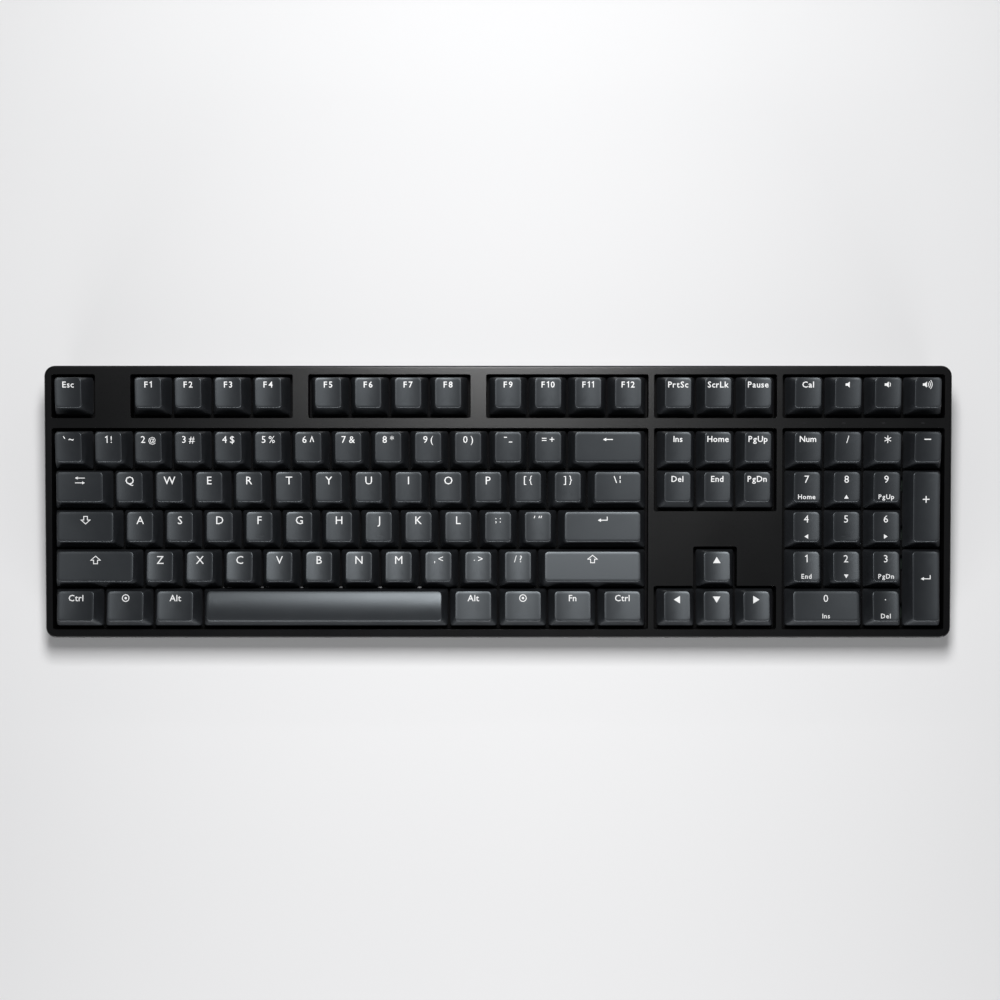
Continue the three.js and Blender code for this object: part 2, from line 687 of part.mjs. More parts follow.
place(deck, "top_case", topCase(), MATERIALS.caseBlack);
place(keyboard, "bottom_case", bottomCase(), MATERIALS.caseBlack);
place(deck, "switch_plate", switchPlate(), MATERIALS.plateBlack);
place(deck, "circuit_board", circuitBoard(), MATERIALS.board);
place(deck, "usb_socket", usbSocket(), MATERIALS.metal);
place(keyboard, "front_rubber_strip", rubberStrip(STRIPS.front), MATERIALS.rubber);
place(keyboard, "rear_rubber_strip", rubberStrip(STRIPS.rear), MATERIALS.rubber);
place(keyboard, "left_foot", foot(), MATERIALS.caseBlack, [-FOOT.x, FOOT.hingeY, FOOT.hingeZ]);
place(keyboard, "right_foot", foot(), MATERIALS.caseBlack, [FOOT.x, FOOT.hingeY, FOOT.hingeZ]);

const isLetter = (name) => name.startsWith("key_");
for (const key of SINGLE_KEYS) {
  const cap = key[0] === "esc_keycap" ? escKeycap(key) : keycap(key);
  place(deck, key[0], cap, isLetter(key[0]) ? MATERIALS.capGrey : MATERIALS.modifierGrey);
}
for (const [name, keys] of Object.entries(KEY_BANKS))
  place(deck, name, keyBank(keys), MATERIALS.modifierGrey);

const escCap = capBox(SINGLE_KEYS[0]);
const underEsc = [escCap.x, escCap.y, 0];
place(deck, "esc_switch_base", switchBase(), MATERIALS.housing, underEsc);
place(deck, "esc_switch_cover", switchCover(), MATERIALS.housing, underEsc);
place(deck, "esc_switch_stem", switchStem(), MATERIALS.stem, underEsc);
place(deck, "esc_switch_spring", switchSpring(), MATERIALS.metal, underEsc);

const spaceCap = capBox(SINGLE_KEYS.at(-1));
const wirePivot = [spaceCap.x, spaceCap.y + WIRE.reach, WIRE.pivotZ];
place(deck, "space_stabiliser_wire", stabiliserWire(), MATERIALS.metal, wirePivot);

// The origin lies under the middle of the whole keyboard.
const extent = new THREE.Box3().setFromObject(keyboard);
keyboard.position.y = -(extent.min.y + extent.max.y) / 2;

export default keyboard;
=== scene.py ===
# %% [markdown]
# # Dressing a full-size mechanical keyboard
# The engineering model is already there: a wedge case, a plate, and keycaps that slide. It is right in
# every size, but its shapes are plain. This lesson builds the visible skin around it, piece by piece,
# and never moves the model itself. We start by loading it and keeping its outer box for later.

# %% Load the fixed frame
import json
import math

import bmesh
import bpy
from mathutils import Matrix, Vector


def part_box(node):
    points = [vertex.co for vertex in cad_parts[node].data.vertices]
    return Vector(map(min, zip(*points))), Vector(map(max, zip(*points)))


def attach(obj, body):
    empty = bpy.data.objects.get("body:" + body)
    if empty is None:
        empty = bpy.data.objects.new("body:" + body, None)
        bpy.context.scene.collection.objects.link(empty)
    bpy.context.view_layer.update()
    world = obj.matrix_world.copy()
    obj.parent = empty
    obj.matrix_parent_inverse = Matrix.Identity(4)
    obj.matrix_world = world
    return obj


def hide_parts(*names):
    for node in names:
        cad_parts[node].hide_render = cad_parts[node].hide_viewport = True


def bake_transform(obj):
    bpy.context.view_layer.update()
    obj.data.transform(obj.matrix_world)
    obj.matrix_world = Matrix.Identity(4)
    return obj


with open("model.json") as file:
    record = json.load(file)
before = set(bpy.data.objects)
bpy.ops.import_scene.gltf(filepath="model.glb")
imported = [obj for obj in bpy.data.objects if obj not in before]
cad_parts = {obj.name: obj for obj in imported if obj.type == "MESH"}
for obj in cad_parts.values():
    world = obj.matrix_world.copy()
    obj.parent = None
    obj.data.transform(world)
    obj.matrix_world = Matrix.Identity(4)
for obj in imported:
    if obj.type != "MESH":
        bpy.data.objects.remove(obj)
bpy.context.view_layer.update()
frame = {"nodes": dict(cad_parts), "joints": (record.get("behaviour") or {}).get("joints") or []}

nodes = frame["nodes"]

# %% [markdown]
# The deck of a keyboard leans towards the typist. It is far easier to think in the deck's own frame,
# where key rows run along X and Y and the caps point up Z, so we measure the lean from a key's sliding
# axis and the deck's place from the plate. Everything above the case floor is made in deck millimetres
# and one matrix takes a finished mesh to its place.

# %% The deck's own frame
MM = 0.001
slide = Vector(next(j["axis"] for j in frame["joints"] if j["name"] == "esc_key_press"))
lean = math.atan2(slide.y, -slide.z)
untilt = Matrix.Rotation(-lean, 4, "X")
plate_points = [untilt @ v.co for v in nodes["switch_plate"].data.vertices]
plate_top = max(p.z for p in plate_points)
plate_middle = (min(p.y for p in plate_points) + max(p.y for p in plate_points)) / 2
DECK_PLACE = Matrix.Rotation(lean, 4, "X") @ Matrix.Translation((0, plate_middle, plate_top))
DECK = DECK_PLACE @ Matrix.Scale(MM, 4)
TO_DECK = DECK.inverted()
ROOT = Matrix.Scale(MM, 4)  # for the few pieces that are drawn level with the desk


def deck_points(node):
    return [TO_DECK @ v.co for v in nodes[node].data.vertices]


def deck_box(node):
    points = deck_points(node)
    low = Vector([min(p[k] for p in points) for k in range(3)])
    high = Vector([max(p[k] for p in points) for k in range(3)])
    return low, high


print("lean", round(math.degrees(lean), 2), "deg, plate top at", round(plate_top / MM, 2), "mm")

# %% [markdown]
# A handful of sizes repeat all over a keyboard: the pitch of the keys, the height at which the caps
# hang, and how each row is sculpted. We read them off the solids of one key per row.

# %% Measure the key grid
KEY_OF_ROW = ["esc_keycap", "number_row_keys", "key_q", "key_a", "key_z", "space_bar"]
PROFILE_OF_ROW = ["esc_keycap", "esc_keycap", "key_q", "key_a", "key_z", "key_z"]


def middle(box, axis):
    return (box[0][axis] + box[1][axis]) / 2


UNIT = middle(deck_box("key_w"), 0) - middle(deck_box("key_q"), 0)
CAP_WIDE = deck_box("key_q")[1].x - deck_box("key_q")[0].x
CAP_GAP = UNIT - CAP_WIDE
CAP_LIFT = deck_box("key_q")[0].z
FIELD_LEFT = deck_box("esc_keycap")[0].x - CAP_GAP / 2
row_y = [middle(deck_box(node), 1) for node in KEY_OF_ROW]


def top_face(node):
    """Width, depth, shift and front and rear height of a cap's top face, from its four corners."""
    points, (low, high) = deck_points(node), deck_box(node)
    top = [p for p in points if p.z > high.z - 1.4]
    front, rear = min(p.y for p in top), max(p.y for p in top)
    return {
        "width": 2 * max(p.x - middle((low, high), 0) for p in top),
        "depth": rear - front,
        "shift": (front + rear) / 2 - middle((low, high), 1),
        "front": max(p.z for p in top if p.y < front + 0.1) - low.z,
        "rear": max(p.z for p in top if p.y > rear - 0.1) - low.z,
    }


profiles = [top_face(node) for node in PROFILE_OF_ROW]
SIDE_LEAN = (CAP_WIDE - profiles[2]["width"]) / 2
print("pitch", round(UNIT, 3), "gap", round(CAP_GAP, 2), "lift", round(CAP_LIFT, 2))
print("rows at", [round(y, 2) for y in row_y], "heights", [round(p["rear"], 1) for p in profiles])

# %% [markdown]
# The layout is the one table that cannot be worked out: which key sits where, and what is printed on
# it. A run gives the CAD body, the row, the left edge in key units, a style of legend, and its keys as
# (name, legend, width, depth). A legend that starts with @ is a drawn sign instead of letters, and a
# bar splits the upper legend from the lower one.

# %% The layout
FUNCTION_KEYS = [(f"f{i}", f"F{i}") for i in range(1, 13)]
DIGIT_PAIRS = ["` ~", "1 !", "2 @", "3 #", "4 $", "5 %", "6 ^", "7 &", "8 *", "9 (", "0 )", "@minus", "= +"]
DIGIT_NAMES = "grave one two three four five six seven eight nine zero hyphen equals".split()
number_row = list(zip(DIGIT_NAMES, DIGIT_PAIRS)) + [("backspace", "@long_left", 2)]


def letter_runs(letters, row, left):
    return [
        (f"key_{c}", row, left + i, "letter", [(c, c.upper())]) for i, c in enumerate(letters)
    ]


LAYOUT = [
    ("esc_key", 0, 0, "word", [("esc", "Esc")]),
    ("f1_to_f4_keys", 0, 2, "spaced", FUNCTION_KEYS[0:4]),
    ("f5_to_f8_keys", 0, 6.5, "spaced", FUNCTION_KEYS[4:8]),
    ("f9_to_f12_keys", 0, 11, "spaced", FUNCTION_KEYS[8:12]),
    ("system_keys", 0, 15.25, "word",
     [("print_screen", "PrtSc"), ("scroll_lock", "ScrLk"), ("pause", "Pause")]),
    ("media_keys", 0, 18.5, "word",
     [("calculator", "Cal"), ("mute", "@speaker"), ("quieter", "@speaker_low"),
      ("louder", "@speaker_high")]),
    ("number_row_keys", 1, 0, "pair", number_row),
    ("tab_key", 2, 0, "sign", [("tab", "@tab", 1.5)]),
    *letter_runs("qwertyuiop", 2, 1.5),
    ("bracket_keys", 2, 11.5, "pair",
     [("open_bracket", "[ {"), ("close_bracket", "] }"), ("backslash", "@bars", 1.5)]),
    ("caps_lock_key", 3, 0, "sign", [("caps_lock", "@caps", 1.75)]),
    *letter_runs("asdfghjkl", 3, 1.75),
    ("quote_keys", 3, 10.75, "pair", [("semicolon", "; :"), ("quote", "' \"")]),
    ("enter_key", 3, 12.75, "sign", [("enter", "@enter", 2.25)]),
    ("left_shift_key", 4, 0, "sign", [("left_shift", "@shift", 2.25)]),
    *letter_runs("zxcvbnm", 4, 2.25),
    ("lower_right_keys", 4, 9.25, "pair",
     [("comma", ", <"), ("full_stop", ". >"), ("slash", "/ ?"), ("right_shift", "@shift", 2.75)]),
    ("left_modifier_keys", 5, 0, "tight",
     [("left_ctrl", "Ctrl", 1.25), ("left_system", "@system", 1.25), ("left_alt", "Alt", 1.25)]),
    ("space_bar", 5, 3.75, "word", [("space", "", 6.25)]),
    ("right_modifier_keys", 5, 10, "tight",
     [("right_alt", "Alt", 1.25), ("right_system", "@system", 1.25), ("fn", "Fn", 1.25),
      ("right_ctrl", "Ctrl", 1.25)]),
    ("navigation_keys", 1, 15.25, "word", [("insert", "Ins"), ("home", "Home"), ("page_up", "PgUp")]),
    ("navigation_keys", 2, 15.25, "word", [("delete", "Del"), ("end", "End"), ("page_down", "PgDn")]),
    ("arrow_keys", 4, 16.25, "sign", [("up", "@up")]),
    ("arrow_keys", 5, 15.25, "sign", [("left", "@left"), ("down", "@down"), ("right", "@right")]),
    ("number_pad_keys", 1, 18.5, "word", [("num_lock", "Num")]),
    ("number_pad_keys", 1, 19.5, "digit",
     [("divide", "/"), ("multiply", "@star"), ("subtract", "@dash")]),
    ("number_pad_keys", 2, 18.5, "digit",
     [("pad_7", "7|Home"), ("pad_8", "8|@small_up"), ("pad_9", "9|PgUp"), ("add", "@plus", 1, 2)]),
    ("number_pad_keys", 3, 18.5, "digit",
     [("pad_4", "4|@small_left"), ("pad_5", "5"), ("pad_6", "6|@small_right")]),
    ("number_pad_keys", 4, 18.5, "digit",
     [("pad_1", "1|End"), ("pad_2", "2|@small_down"), ("pad_3", "3|PgDn"), ("pad_enter", "@enter", 1, 2)]),
    ("number_pad_keys", 5, 18.5, "digit", [("pad_0", "0|Ins", 2), ("decimal", ".|Del")]),
]

keys = []
for body, row, left, style, members in LAYOUT:
    for name, legend, *size in members:
        width, depth = (size + [1, 1])[:2] if len(size) != 1 else (size[0], 1)
        keys.append({
            "name": name, "body": body, "row": row, "style": style, "legend": legend,
            "units": (width, depth),
            "x": FIELD_LEFT + (left + width / 2) * UNIT,
            "y": row_y[row] - (depth - 1) * UNIT / 2,
            "width": width * UNIT - CAP_GAP,
            "depth": depth * UNIT - CAP_GAP,
            **{"top_" + k: v for k, v in profiles[row].items()},
        })
        left += width
for key in keys:
    key["top_width"] = key["width"] - 2 * SIDE_LEAN
    key["top_depth"] += key["depth"] - CAP_WIDE

# %% [markdown]
# ## Two small helpers
# Node trees are wordy to write by hand. `add` makes a node, fills its inputs by name and links any that
# are themselves outputs. `Field` wraps an output so that +, -, * and / write the Math nodes for us.

# %% Helpers that write node trees
def add(tree, kind, inputs=None, **settings):
    node = tree.nodes.new(kind)
    for key, value in settings.items():
        setattr(node, key, value)
    for key, value in (inputs or {}).items():
        socket = node.inputs[key]
        value = value.socket if isinstance(value, Field) else value
        if isinstance(value, bpy.types.NodeSocket):
            tree.links.new(value, socket)
        else:
            socket.default_value = value
    return node


class Field:
    """A number that a node gives at every point."""

    def __init__(self, socket):
        self.socket = socket

    def maths(self, operation, *others):
        inputs = dict(enumerate((self, *others)))
        node = add(self.socket.id_data, "ShaderNodeMath", inputs, operation=operation)
        return Field(node.outputs[0])

    def __add__(self, other):
        return self.maths("ADD", other)

    def __sub__(self, other):
        return self.maths("SUBTRACT", other)

    def __mul__(self, other):
        return self.maths("MULTIPLY", other)

    def __truediv__(self, other):
        return self.maths("DIVIDE", other)

    def __rsub__(self, other):
        return (self * -1) + other

    __radd__, __rmul__ = __add__, __mul__


def blend(low, high, share):
    return low + (high - low) * share


def new_tree(name, kind, inputs, outputs):
    """An empty node group with these sockets, its input node and its output node."""
    tree = bpy.data.node_groups.new(name, kind)
    for direction, sockets in (("INPUT", inputs), ("OUTPUT", outputs)):
        for label, (socket_type, default) in sockets.items():
            socket = tree.interface.new_socket(label, in_out=direction, socket_type=socket_type)
            if default is not None:
                socket.default_value = default
    return tree, tree.nodes.new("NodeGroupInput"), tree.nodes.new("NodeGroupOutput")


def end_tree(tree, geometry, given, result):
    """Makes the result real, gives it the tree's material and ends the tree."""
    real = add(tree, "GeometryNodeRealizeInstances", {"Geometry": geometry})
    finished = add(tree, "GeometryNodeSetMaterial",
                   {"Geometry": real.outputs[0], "Material": given.outputs["Material"]})
    tree.links.new(finished.outputs[0], result.inputs[0])
    return tree


FLOAT, GEOMETRY, MATERIAL = "NodeSocketFloat", "NodeSocketGeometry", "NodeSocketMaterial"
SEAM = 0.002  # points closer than this are one point, in mm
print("helpers ready")

# %% Helpers that finish pieces
def finish_piece(name, mesh, body, replaces=(), matrix=DECK):
    mesh.transform(matrix)
    mesh.name = name
    piece = bpy.data.objects.new(name, mesh)
    bpy.context.scene.collection.objects.link(piece)
    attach(piece, body)
    if replaces:
        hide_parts(*replaces)
    return piece


def evaluated_mesh(carrier):
    """The mesh that an object's modifiers make; the object itself is then removed."""
    bpy.context.view_layer.update()
    graph = bpy.context.evaluated_depsgraph_get()
    mesh = bpy.data.meshes.new_from_object(carrier.evaluated_get(graph))
    bpy.data.objects.remove(carrier)
    return mesh


def grow(tree, values, seed_mesh=None):
    """Runs a Geometry Nodes tree with these named inputs and returns the mesh that it makes."""
    carrier = bpy.data.objects.new("carrier", seed_mesh or bpy.data.meshes.new("carrier"))
    modifier = carrier.modifiers.new("tree", "NODES")
    modifier.node_group = tree
    for item in tree.interface.items_tree:
        if item.item_type == "SOCKET" and item.in_out == "INPUT" and item.name in values:
            modifier[item.identifier] = values[item.name]
    bpy.context.scene.collection.objects.link(carrier)
    return evaluated_mesh(carrier)


def smooth(mesh, angle=35):
    mesh.shade_smooth()
    mesh.set_sharp_from_angle(angle=math.radians(angle))
    return mesh


def mesh_from(shape, name="part"):
    """Turns a bmesh into a mesh, with its faces pointing out."""
    bmesh.ops.recalc_face_normals(shape, faces=shape.faces)
    mesh = bpy.data.meshes.new(name)
    shape.to_mesh(mesh)
    shape.free()
    return mesh


def clad(mesh, material):
    """The mesh with this one material."""
    mesh.materials.clear()
    mesh.materials.append(material)
    return mesh


def joined(meshes):
    """One mesh from several; the material indices of each are kept."""
    shape = bmesh.new()
    for mesh in meshes:
        shape.from_mesh(mesh)
    result = bpy.data.meshes.new("joined")
    shape.to_mesh(result)
    shape.free()
    return result


print("finishers ready")

# %% [markdown]
# ## Shared surface effects
# Three effects come back in nearly every material. *Moulded grain* is the spark-eroded texture of a
# mould: a fine height for the bump and a slow drift of tone. *Handled edges* marks the convex edges,
# where fingers polish plastic and wear paint thin. *Settled dust* marks faces that look up, unevenly.
# Each is a node group that only puts out masks and values; the shader itself stays in the material.

# %% Moulded grain
def per_metre(size):
    """How often a pattern of this size in mm repeats in a metre."""
    return size.maths("POWER", -1) * (1 / MM)


def object_noise(tree, size, **settings):
    """The object's own place, and a noise in it whose grains are this large."""
    place = add(tree, "ShaderNodeTexCoord").outputs["Object"]
    noise = add(tree, "ShaderNodeTexNoise", {"Vector": place, "Scale": per_metre(size), **settings})
    return place, Field(noise.outputs[0])


def grain_group():
    inputs = {"Grain Size": (FLOAT, 0.3), "Drift Size": (FLOAT, 30.0)}
    outputs = {"Height": (FLOAT, None), "Tone": (FLOAT, None), "Speck": (FLOAT, None)}
    tree, given, result = new_tree("moulded_grain", "ShaderNodeTree", inputs, outputs)
    grain_size, drift_size = (Field(given.outputs[label]) for label in inputs)
    place, fine = object_noise(tree, grain_size, Detail=2.0, Roughness=0.6)
    _, slow = object_noise(tree, drift_size, Detail=3.0)
    pits = add(tree, "ShaderNodeTexVoronoi", {"Vector": place, "Scale": per_metre(grain_size) * 0.7})
    height = fine + Field(pits.outputs["Distance"]) * 0.35
    speck = ((fine - 0.62) * 6.0).maths("MAXIMUM", 0.0).maths("MINIMUM", 1.0)
    for label, value in zip(outputs, (height, slow, speck)):
        tree.links.new(value.socket, result.inputs[label])
    return tree


GRAIN = grain_group()
print("moulded_grain:", len(GRAIN.nodes), "nodes")

# %% Handled edges and settled dust
def edges_group():
    inputs = {"Sharpness": (FLOAT, 12.0), "Breakup": (FLOAT, 2.5)}
    tree, given, result = new_tree("handled_edges", "ShaderNodeTree", inputs, {"Mask": (FLOAT, None)})
    _, patches = object_noise(tree, Field(given.outputs["Breakup"]), Detail=3.0)
    bend = Field(add(tree, "ShaderNodeNewGeometry").outputs["Pointiness"])
    convex = (bend - 0.5).maths("MAXIMUM", 0.0) * Field(given.outputs["Sharpness"])
    mask = convex.maths("MINIMUM", 1.0) * (patches + 0.35)
    tree.links.new(mask.maths("MINIMUM", 1.0).socket, result.inputs["Mask"])
    return tree


def dust_group():
    inputs = {"Amount": (FLOAT, 0.1), "Patch Size": (FLOAT, 6.0)}
    tree, given, result = new_tree("settled_dust", "ShaderNodeTree", inputs, {"Mask": (FLOAT, None)})
    _, patches = object_noise(tree, Field(given.outputs["Patch Size"]), Detail=5.0)
    normal = add(tree, "ShaderNodeNewGeometry").outputs["Normal"]
    up = Field(add(tree, "ShaderNodeSeparateXYZ", {0: normal}).outputs["Z"]).maths("MAXIMUM", 0.0)
    mask = up * up * patches * Field(given.outputs["Amount"])
    tree.links.new(mask.socket, result.inputs["Mask"])
    return tree


EDGES, DUST = edges_group(), dust_group()
print("handled_edges:", len(EDGES.nodes), "nodes; settled_dust:", len(DUST.nodes), "nodes")

# %% [markdown]
# ## Moulded plastics
# Most of the keyboard is moulded plastic and differs only in colour, gloss and grain, so one recipe
# makes them all: a base colour that drifts between two close tones, a bump from the grain, polished
# edges a little lighter and glossier, and a whisper of dust.

# %% The recipe for moulded plastic
def use(tree, group, **inputs):
    node = add(tree, "ShaderNodeGroup", node_tree=group)
    for label, value in inputs.items():
        node.inputs[label.replace("_", " ").title()].default_value = value
    return node


def mix_colours(tree, share, low, high):
    node = add(tree, "ShaderNodeMix", data_type="RGBA")
    for socket, value in zip((node.inputs[0], node.inputs[6], node.inputs[7]), (share, low, high)):
        value = value.socket if isinstance(value, Field) else value
        if isinstance(value, bpy.types.NodeSocket):
            tree.links.new(value, socket)
        else:
            socket.default_value = (*value, 1) if len(value) == 3 else value
    return node.outputs[2]


def bare_material(name):
    material = bpy.data.materials.new(name)
    material.use_nodes = True
    return material, material.node_tree, material.node_tree.nodes["Principled BSDF"]


def cover(tree, shader, colour, rough, height, strength, relief):
    """Joins a colour, a roughness and a bump of this relief in mm to the shader."""
    bump = add(tree, "ShaderNodeBump", {"Strength": strength, "Distance": relief * MM, "Height": height})
    tree.links.new(colour, shader.inputs["Base Color"])
    tree.links.new(rough.socket, shader.inputs["Roughness"])
    tree.links.new(bump.outputs[0], shader.inputs["Normal"])


def moulded(name, dark, light, roughness, grain=0.3, relief=0.03, drift=30.0, worn=None,
            wear=0.4, dust=0.05, specular=0.5, rough_spread=0.1, tint=(1, 1, 1)):
    material, tree, shader = bare_material(name)
    texture = use(tree, GRAIN, grain_size=grain, drift_size=drift)
    tone, speck = Field(texture.outputs["Tone"]), Field(texture.outputs["Speck"])
    colour = mix_colours(tree, tone, dark, light)
    edge = Field(use(tree, EDGES).outputs["Mask"]) * wear
    colour = mix_colours(tree, edge, colour, worn or [1.6 * c for c in light])
    film = use(tree, DUST, amount=dust).outputs["Mask"]
    colour = mix_colours(tree, film, colour, (0.42, 0.41, 0.39))
    rough = tone * rough_spread + (roughness - rough_spread / 2) - edge * 0.12 - speck * 0.08
    cover(tree, shader, colour, rough, Field(texture.outputs["Height"]), 0.55, relief)
    shader.inputs["Specular IOR Level"].default_value = specular
    shader.inputs["Specular Tint"].default_value = (*tint, 1)
    return material


CAP = moulded("charcoal_pbt", (0.0085, 0.0094, 0.011), (0.0125, 0.0138, 0.0162), 0.4, grain=0.32,
              relief=0.03, drift=24, worn=(0.05, 0.053, 0.058), wear=0.3, dust=0.005, specular=0.8,
              tint=(0.86, 0.94, 1.0))
LEGEND = moulded("white_pbt", (0.74, 0.75, 0.76), (0.86, 0.86, 0.86), 0.5, grain=0.3, relief=0.015,
                 worn=(0.8, 0.8, 0.8), dust=0.0)
CASE_TOP = moulded("case_black", (0.0025, 0.0026, 0.003), (0.004, 0.0042, 0.0046), 0.3, grain=0.35,
                   relief=0.03, drift=60, wear=0.0, dust=0.0, specular=0.42)
CASE_BASE = moulded("base_black", (0.005, 0.005, 0.0055), (0.008, 0.008, 0.0085), 0.55, grain=0.5,
                    relief=0.05, drift=60, wear=0.0, dust=0.02)
HOUSING = moulded("switch_nylon", (0.012, 0.012, 0.013), (0.02, 0.02, 0.022), 0.38, grain=0.2,
                  relief=0.01, dust=0.02)
STEM = moulded("stem_acetal", (0.22, 0.02, 0.018), (0.3, 0.035, 0.03), 0.34, grain=0.2, relief=0.006,
               worn=(0.4, 0.08, 0.06), dust=0.0)
RUBBER = moulded("strip_rubber", (0.012, 0.012, 0.012), (0.022, 0.022, 0.021), 0.82, grain=0.6,
                 relief=0.08, drift=12, worn=(0.07, 0.07, 0.068), wear=0.6, dust=0.2, specular=0.3)
WINDOW = moulded("indicator_window", (0.012, 0.012, 0.013), (0.02, 0.02, 0.021), 0.2, grain=0.2,
                 relief=0.005, dust=0.0)
print("plastics:", [m.name for m in bpy.data.materials if m.use_nodes][-8:])

# %% [markdown]
# ## Metals and the circuit board
# The plate is steel under black powder coat, which has a pebbled skin. Bare metal parts are drawn or
# stamped steel with fine lines along one direction, and the socket's contacts are plated with gold.
# The board is laminate under dark solder mask, with copper tracks that show through as paler lines.

# %% Metals
def drawn_metal(name, dark, light, roughness, stretch=(1, 14, 1)):
    material, tree, shader = bare_material(name)
    place = add(tree, "ShaderNodeTexCoord").outputs["Object"]
    turned = add(tree, "ShaderNodeMapping", {"Vector": place, "Scale": [s * 900 for s in stretch]})
    lines = Field(add(tree, "ShaderNodeTexNoise",
                      {"Vector": turned.outputs[0], "Scale": 1.0, "Detail": 4.0}).outputs[0])
    edge = Field(use(tree, EDGES).outputs["Mask"]) * 0.4
    colour = mix_colours(tree, lines, dark, light)
    rough = lines * 0.2 + (roughness - 0.1) - edge * 0.1
    cover(tree, shader, colour, rough, lines, 0.3, 0.01)
    shader.inputs["Metallic"].default_value = 1.0
    return material


STEEL = drawn_metal("drawn_steel", (0.5, 0.5, 0.51), (0.68, 0.68, 0.69), 0.32)
GOLD = drawn_metal("contact_gold", (0.75, 0.52, 0.18), (0.9, 0.68, 0.3), 0.25)
SCREW_STEEL = drawn_metal("blackened_steel", (0.05, 0.05, 0.052), (0.09, 0.09, 0.092), 0.38)
PLATE = moulded("plate_powder_coat", (0.0025, 0.0025, 0.003), (0.0045, 0.0045, 0.005), 0.75, grain=0.7,
                relief=0.06, drift=80, wear=0.0, dust=0.01, specular=0.12)
print("metals:", STEEL.name, GOLD.name, SCREW_STEEL.name, PLATE.name)

# %% Circuit board
def board_material():
    material, tree, shader = bare_material("board_laminate")
    place = add(tree, "ShaderNodeTexCoord").outputs["Object"]
    grid = add(tree, "ShaderNodeTexBrick",
               {"Vector": place, "Scale": 210.0, "Mortar Size": 0.03, "Mortar Smooth": 0.2,
                "Brick Width": 1.9, "Row Height": 0.5, "Color1": (0, 0, 0, 1), "Color2": (0, 0, 0, 1),
                "Mortar": (1, 1, 1, 1)})
    texture = use(tree, GRAIN, grain_size=0.4, drift_size=40.0)
    mask = mix_colours(tree, texture.outputs["Tone"], (0.006, 0.016, 0.012), (0.01, 0.026, 0.019))
    track = Field(grid.outputs["Fac"]) * 0.7
    colour = mix_colours(tree, track, mask, (0.02, 0.06, 0.042))
    film = use(tree, DUST, amount=0.1).outputs["Mask"]
    colour = mix_colours(tree, film, colour, (0.4, 0.39, 0.37))
    cover(tree, shader, colour, track * -0.1 + 0.36, track, 0.5, 0.03)
    return material


BOARD = board_material()
print("board:", len(BOARD.node_tree.nodes), "nodes")

# %% [markdown]
# ## The keycap
# A keycap is a thin tapered shell: a foot almost as wide as the key pitch, sides that lean in, a small
# rolled rim, and a top face hollowed like a gutter so that a finger finds its middle. All 108 follow
# one rule, so one Geometry Nodes tree makes them. It wraps a flat grid round the cap: the columns run
# round a rectangle with round corners and the rows climb from the roof inside, down the inner wall,
# over the foot, up the outside and in over the top, where the last row closes on itself.

# %% Rings of a keycap
CORNER_STEPS, SIDE_STEPS = 4, 8
COLUMNS = 4 * (CORNER_STEPS + SIDE_STEPS)
RIM_ANGLES = [0, 30, 60, 90]
TOP_SHARES = [0.16, 0.36, 0.62, 1.0]
FOOT_ROUND = 0.35  # radius of the foot's edge over the rim's
SIDE_BULGE = 0.06  # the sides swell this far half way up


def keycap_rings(wall, rim, half):
    """Rows from the inside out, each (level, inset, lift): level 0 is the foot, 1 the top."""
    rings = [
        (1.0, half, wall * -1),
        (1.0, wall * 1.2, wall * -1),
        (0.0, wall, 0.0),
        (0.0, rim * FOOT_ROUND, 0.0),
        (0.0, 0.0, rim * FOOT_ROUND),
        (0.5, -SIDE_BULGE, 0.0),
    ]
    for angle in map(math.radians, RIM_ANGLES):
        rings.append((1.0, rim * (1 - math.cos(angle)), rim * (math.sin(angle) - 1)))
    return rings + [(1.0, blend(rim, half, share), 0.0) for share in TOP_SHARES]


print("a cap has", COLUMNS, "columns")

# %% The keycap tree
KEYCAP_SIZES = {
    "Width": 18.15, "Depth": 18.15, "Top Width": 12.7, "Top Depth": 14.4, "Top Shift": 1.3,
    "Front Height": 9.0, "Rear Height": 9.0, "Dish": 0.6, "Crown": 0.0,
    "Foot Corner": 1.0, "Top Corner": 2.2, "Wall": 1.5, "Rim": 0.45,
}


def pick(tree, index, items):
    """A value for each whole number: the first item for 0, the second for 1, and so on."""
    node = add(tree, "GeometryNodeIndexSwitch", {"Index": index}, data_type="FLOAT")
    while len(node.index_switch_items) < len(items):
        node.index_switch_items.new()
    for i, item in enumerate(items):
        socket = node.inputs[i + 1]
        if isinstance(item, Field):
            tree.links.new(item.socket, socket)
        else:
            socket.default_value = item
    return Field(node.outputs[0])


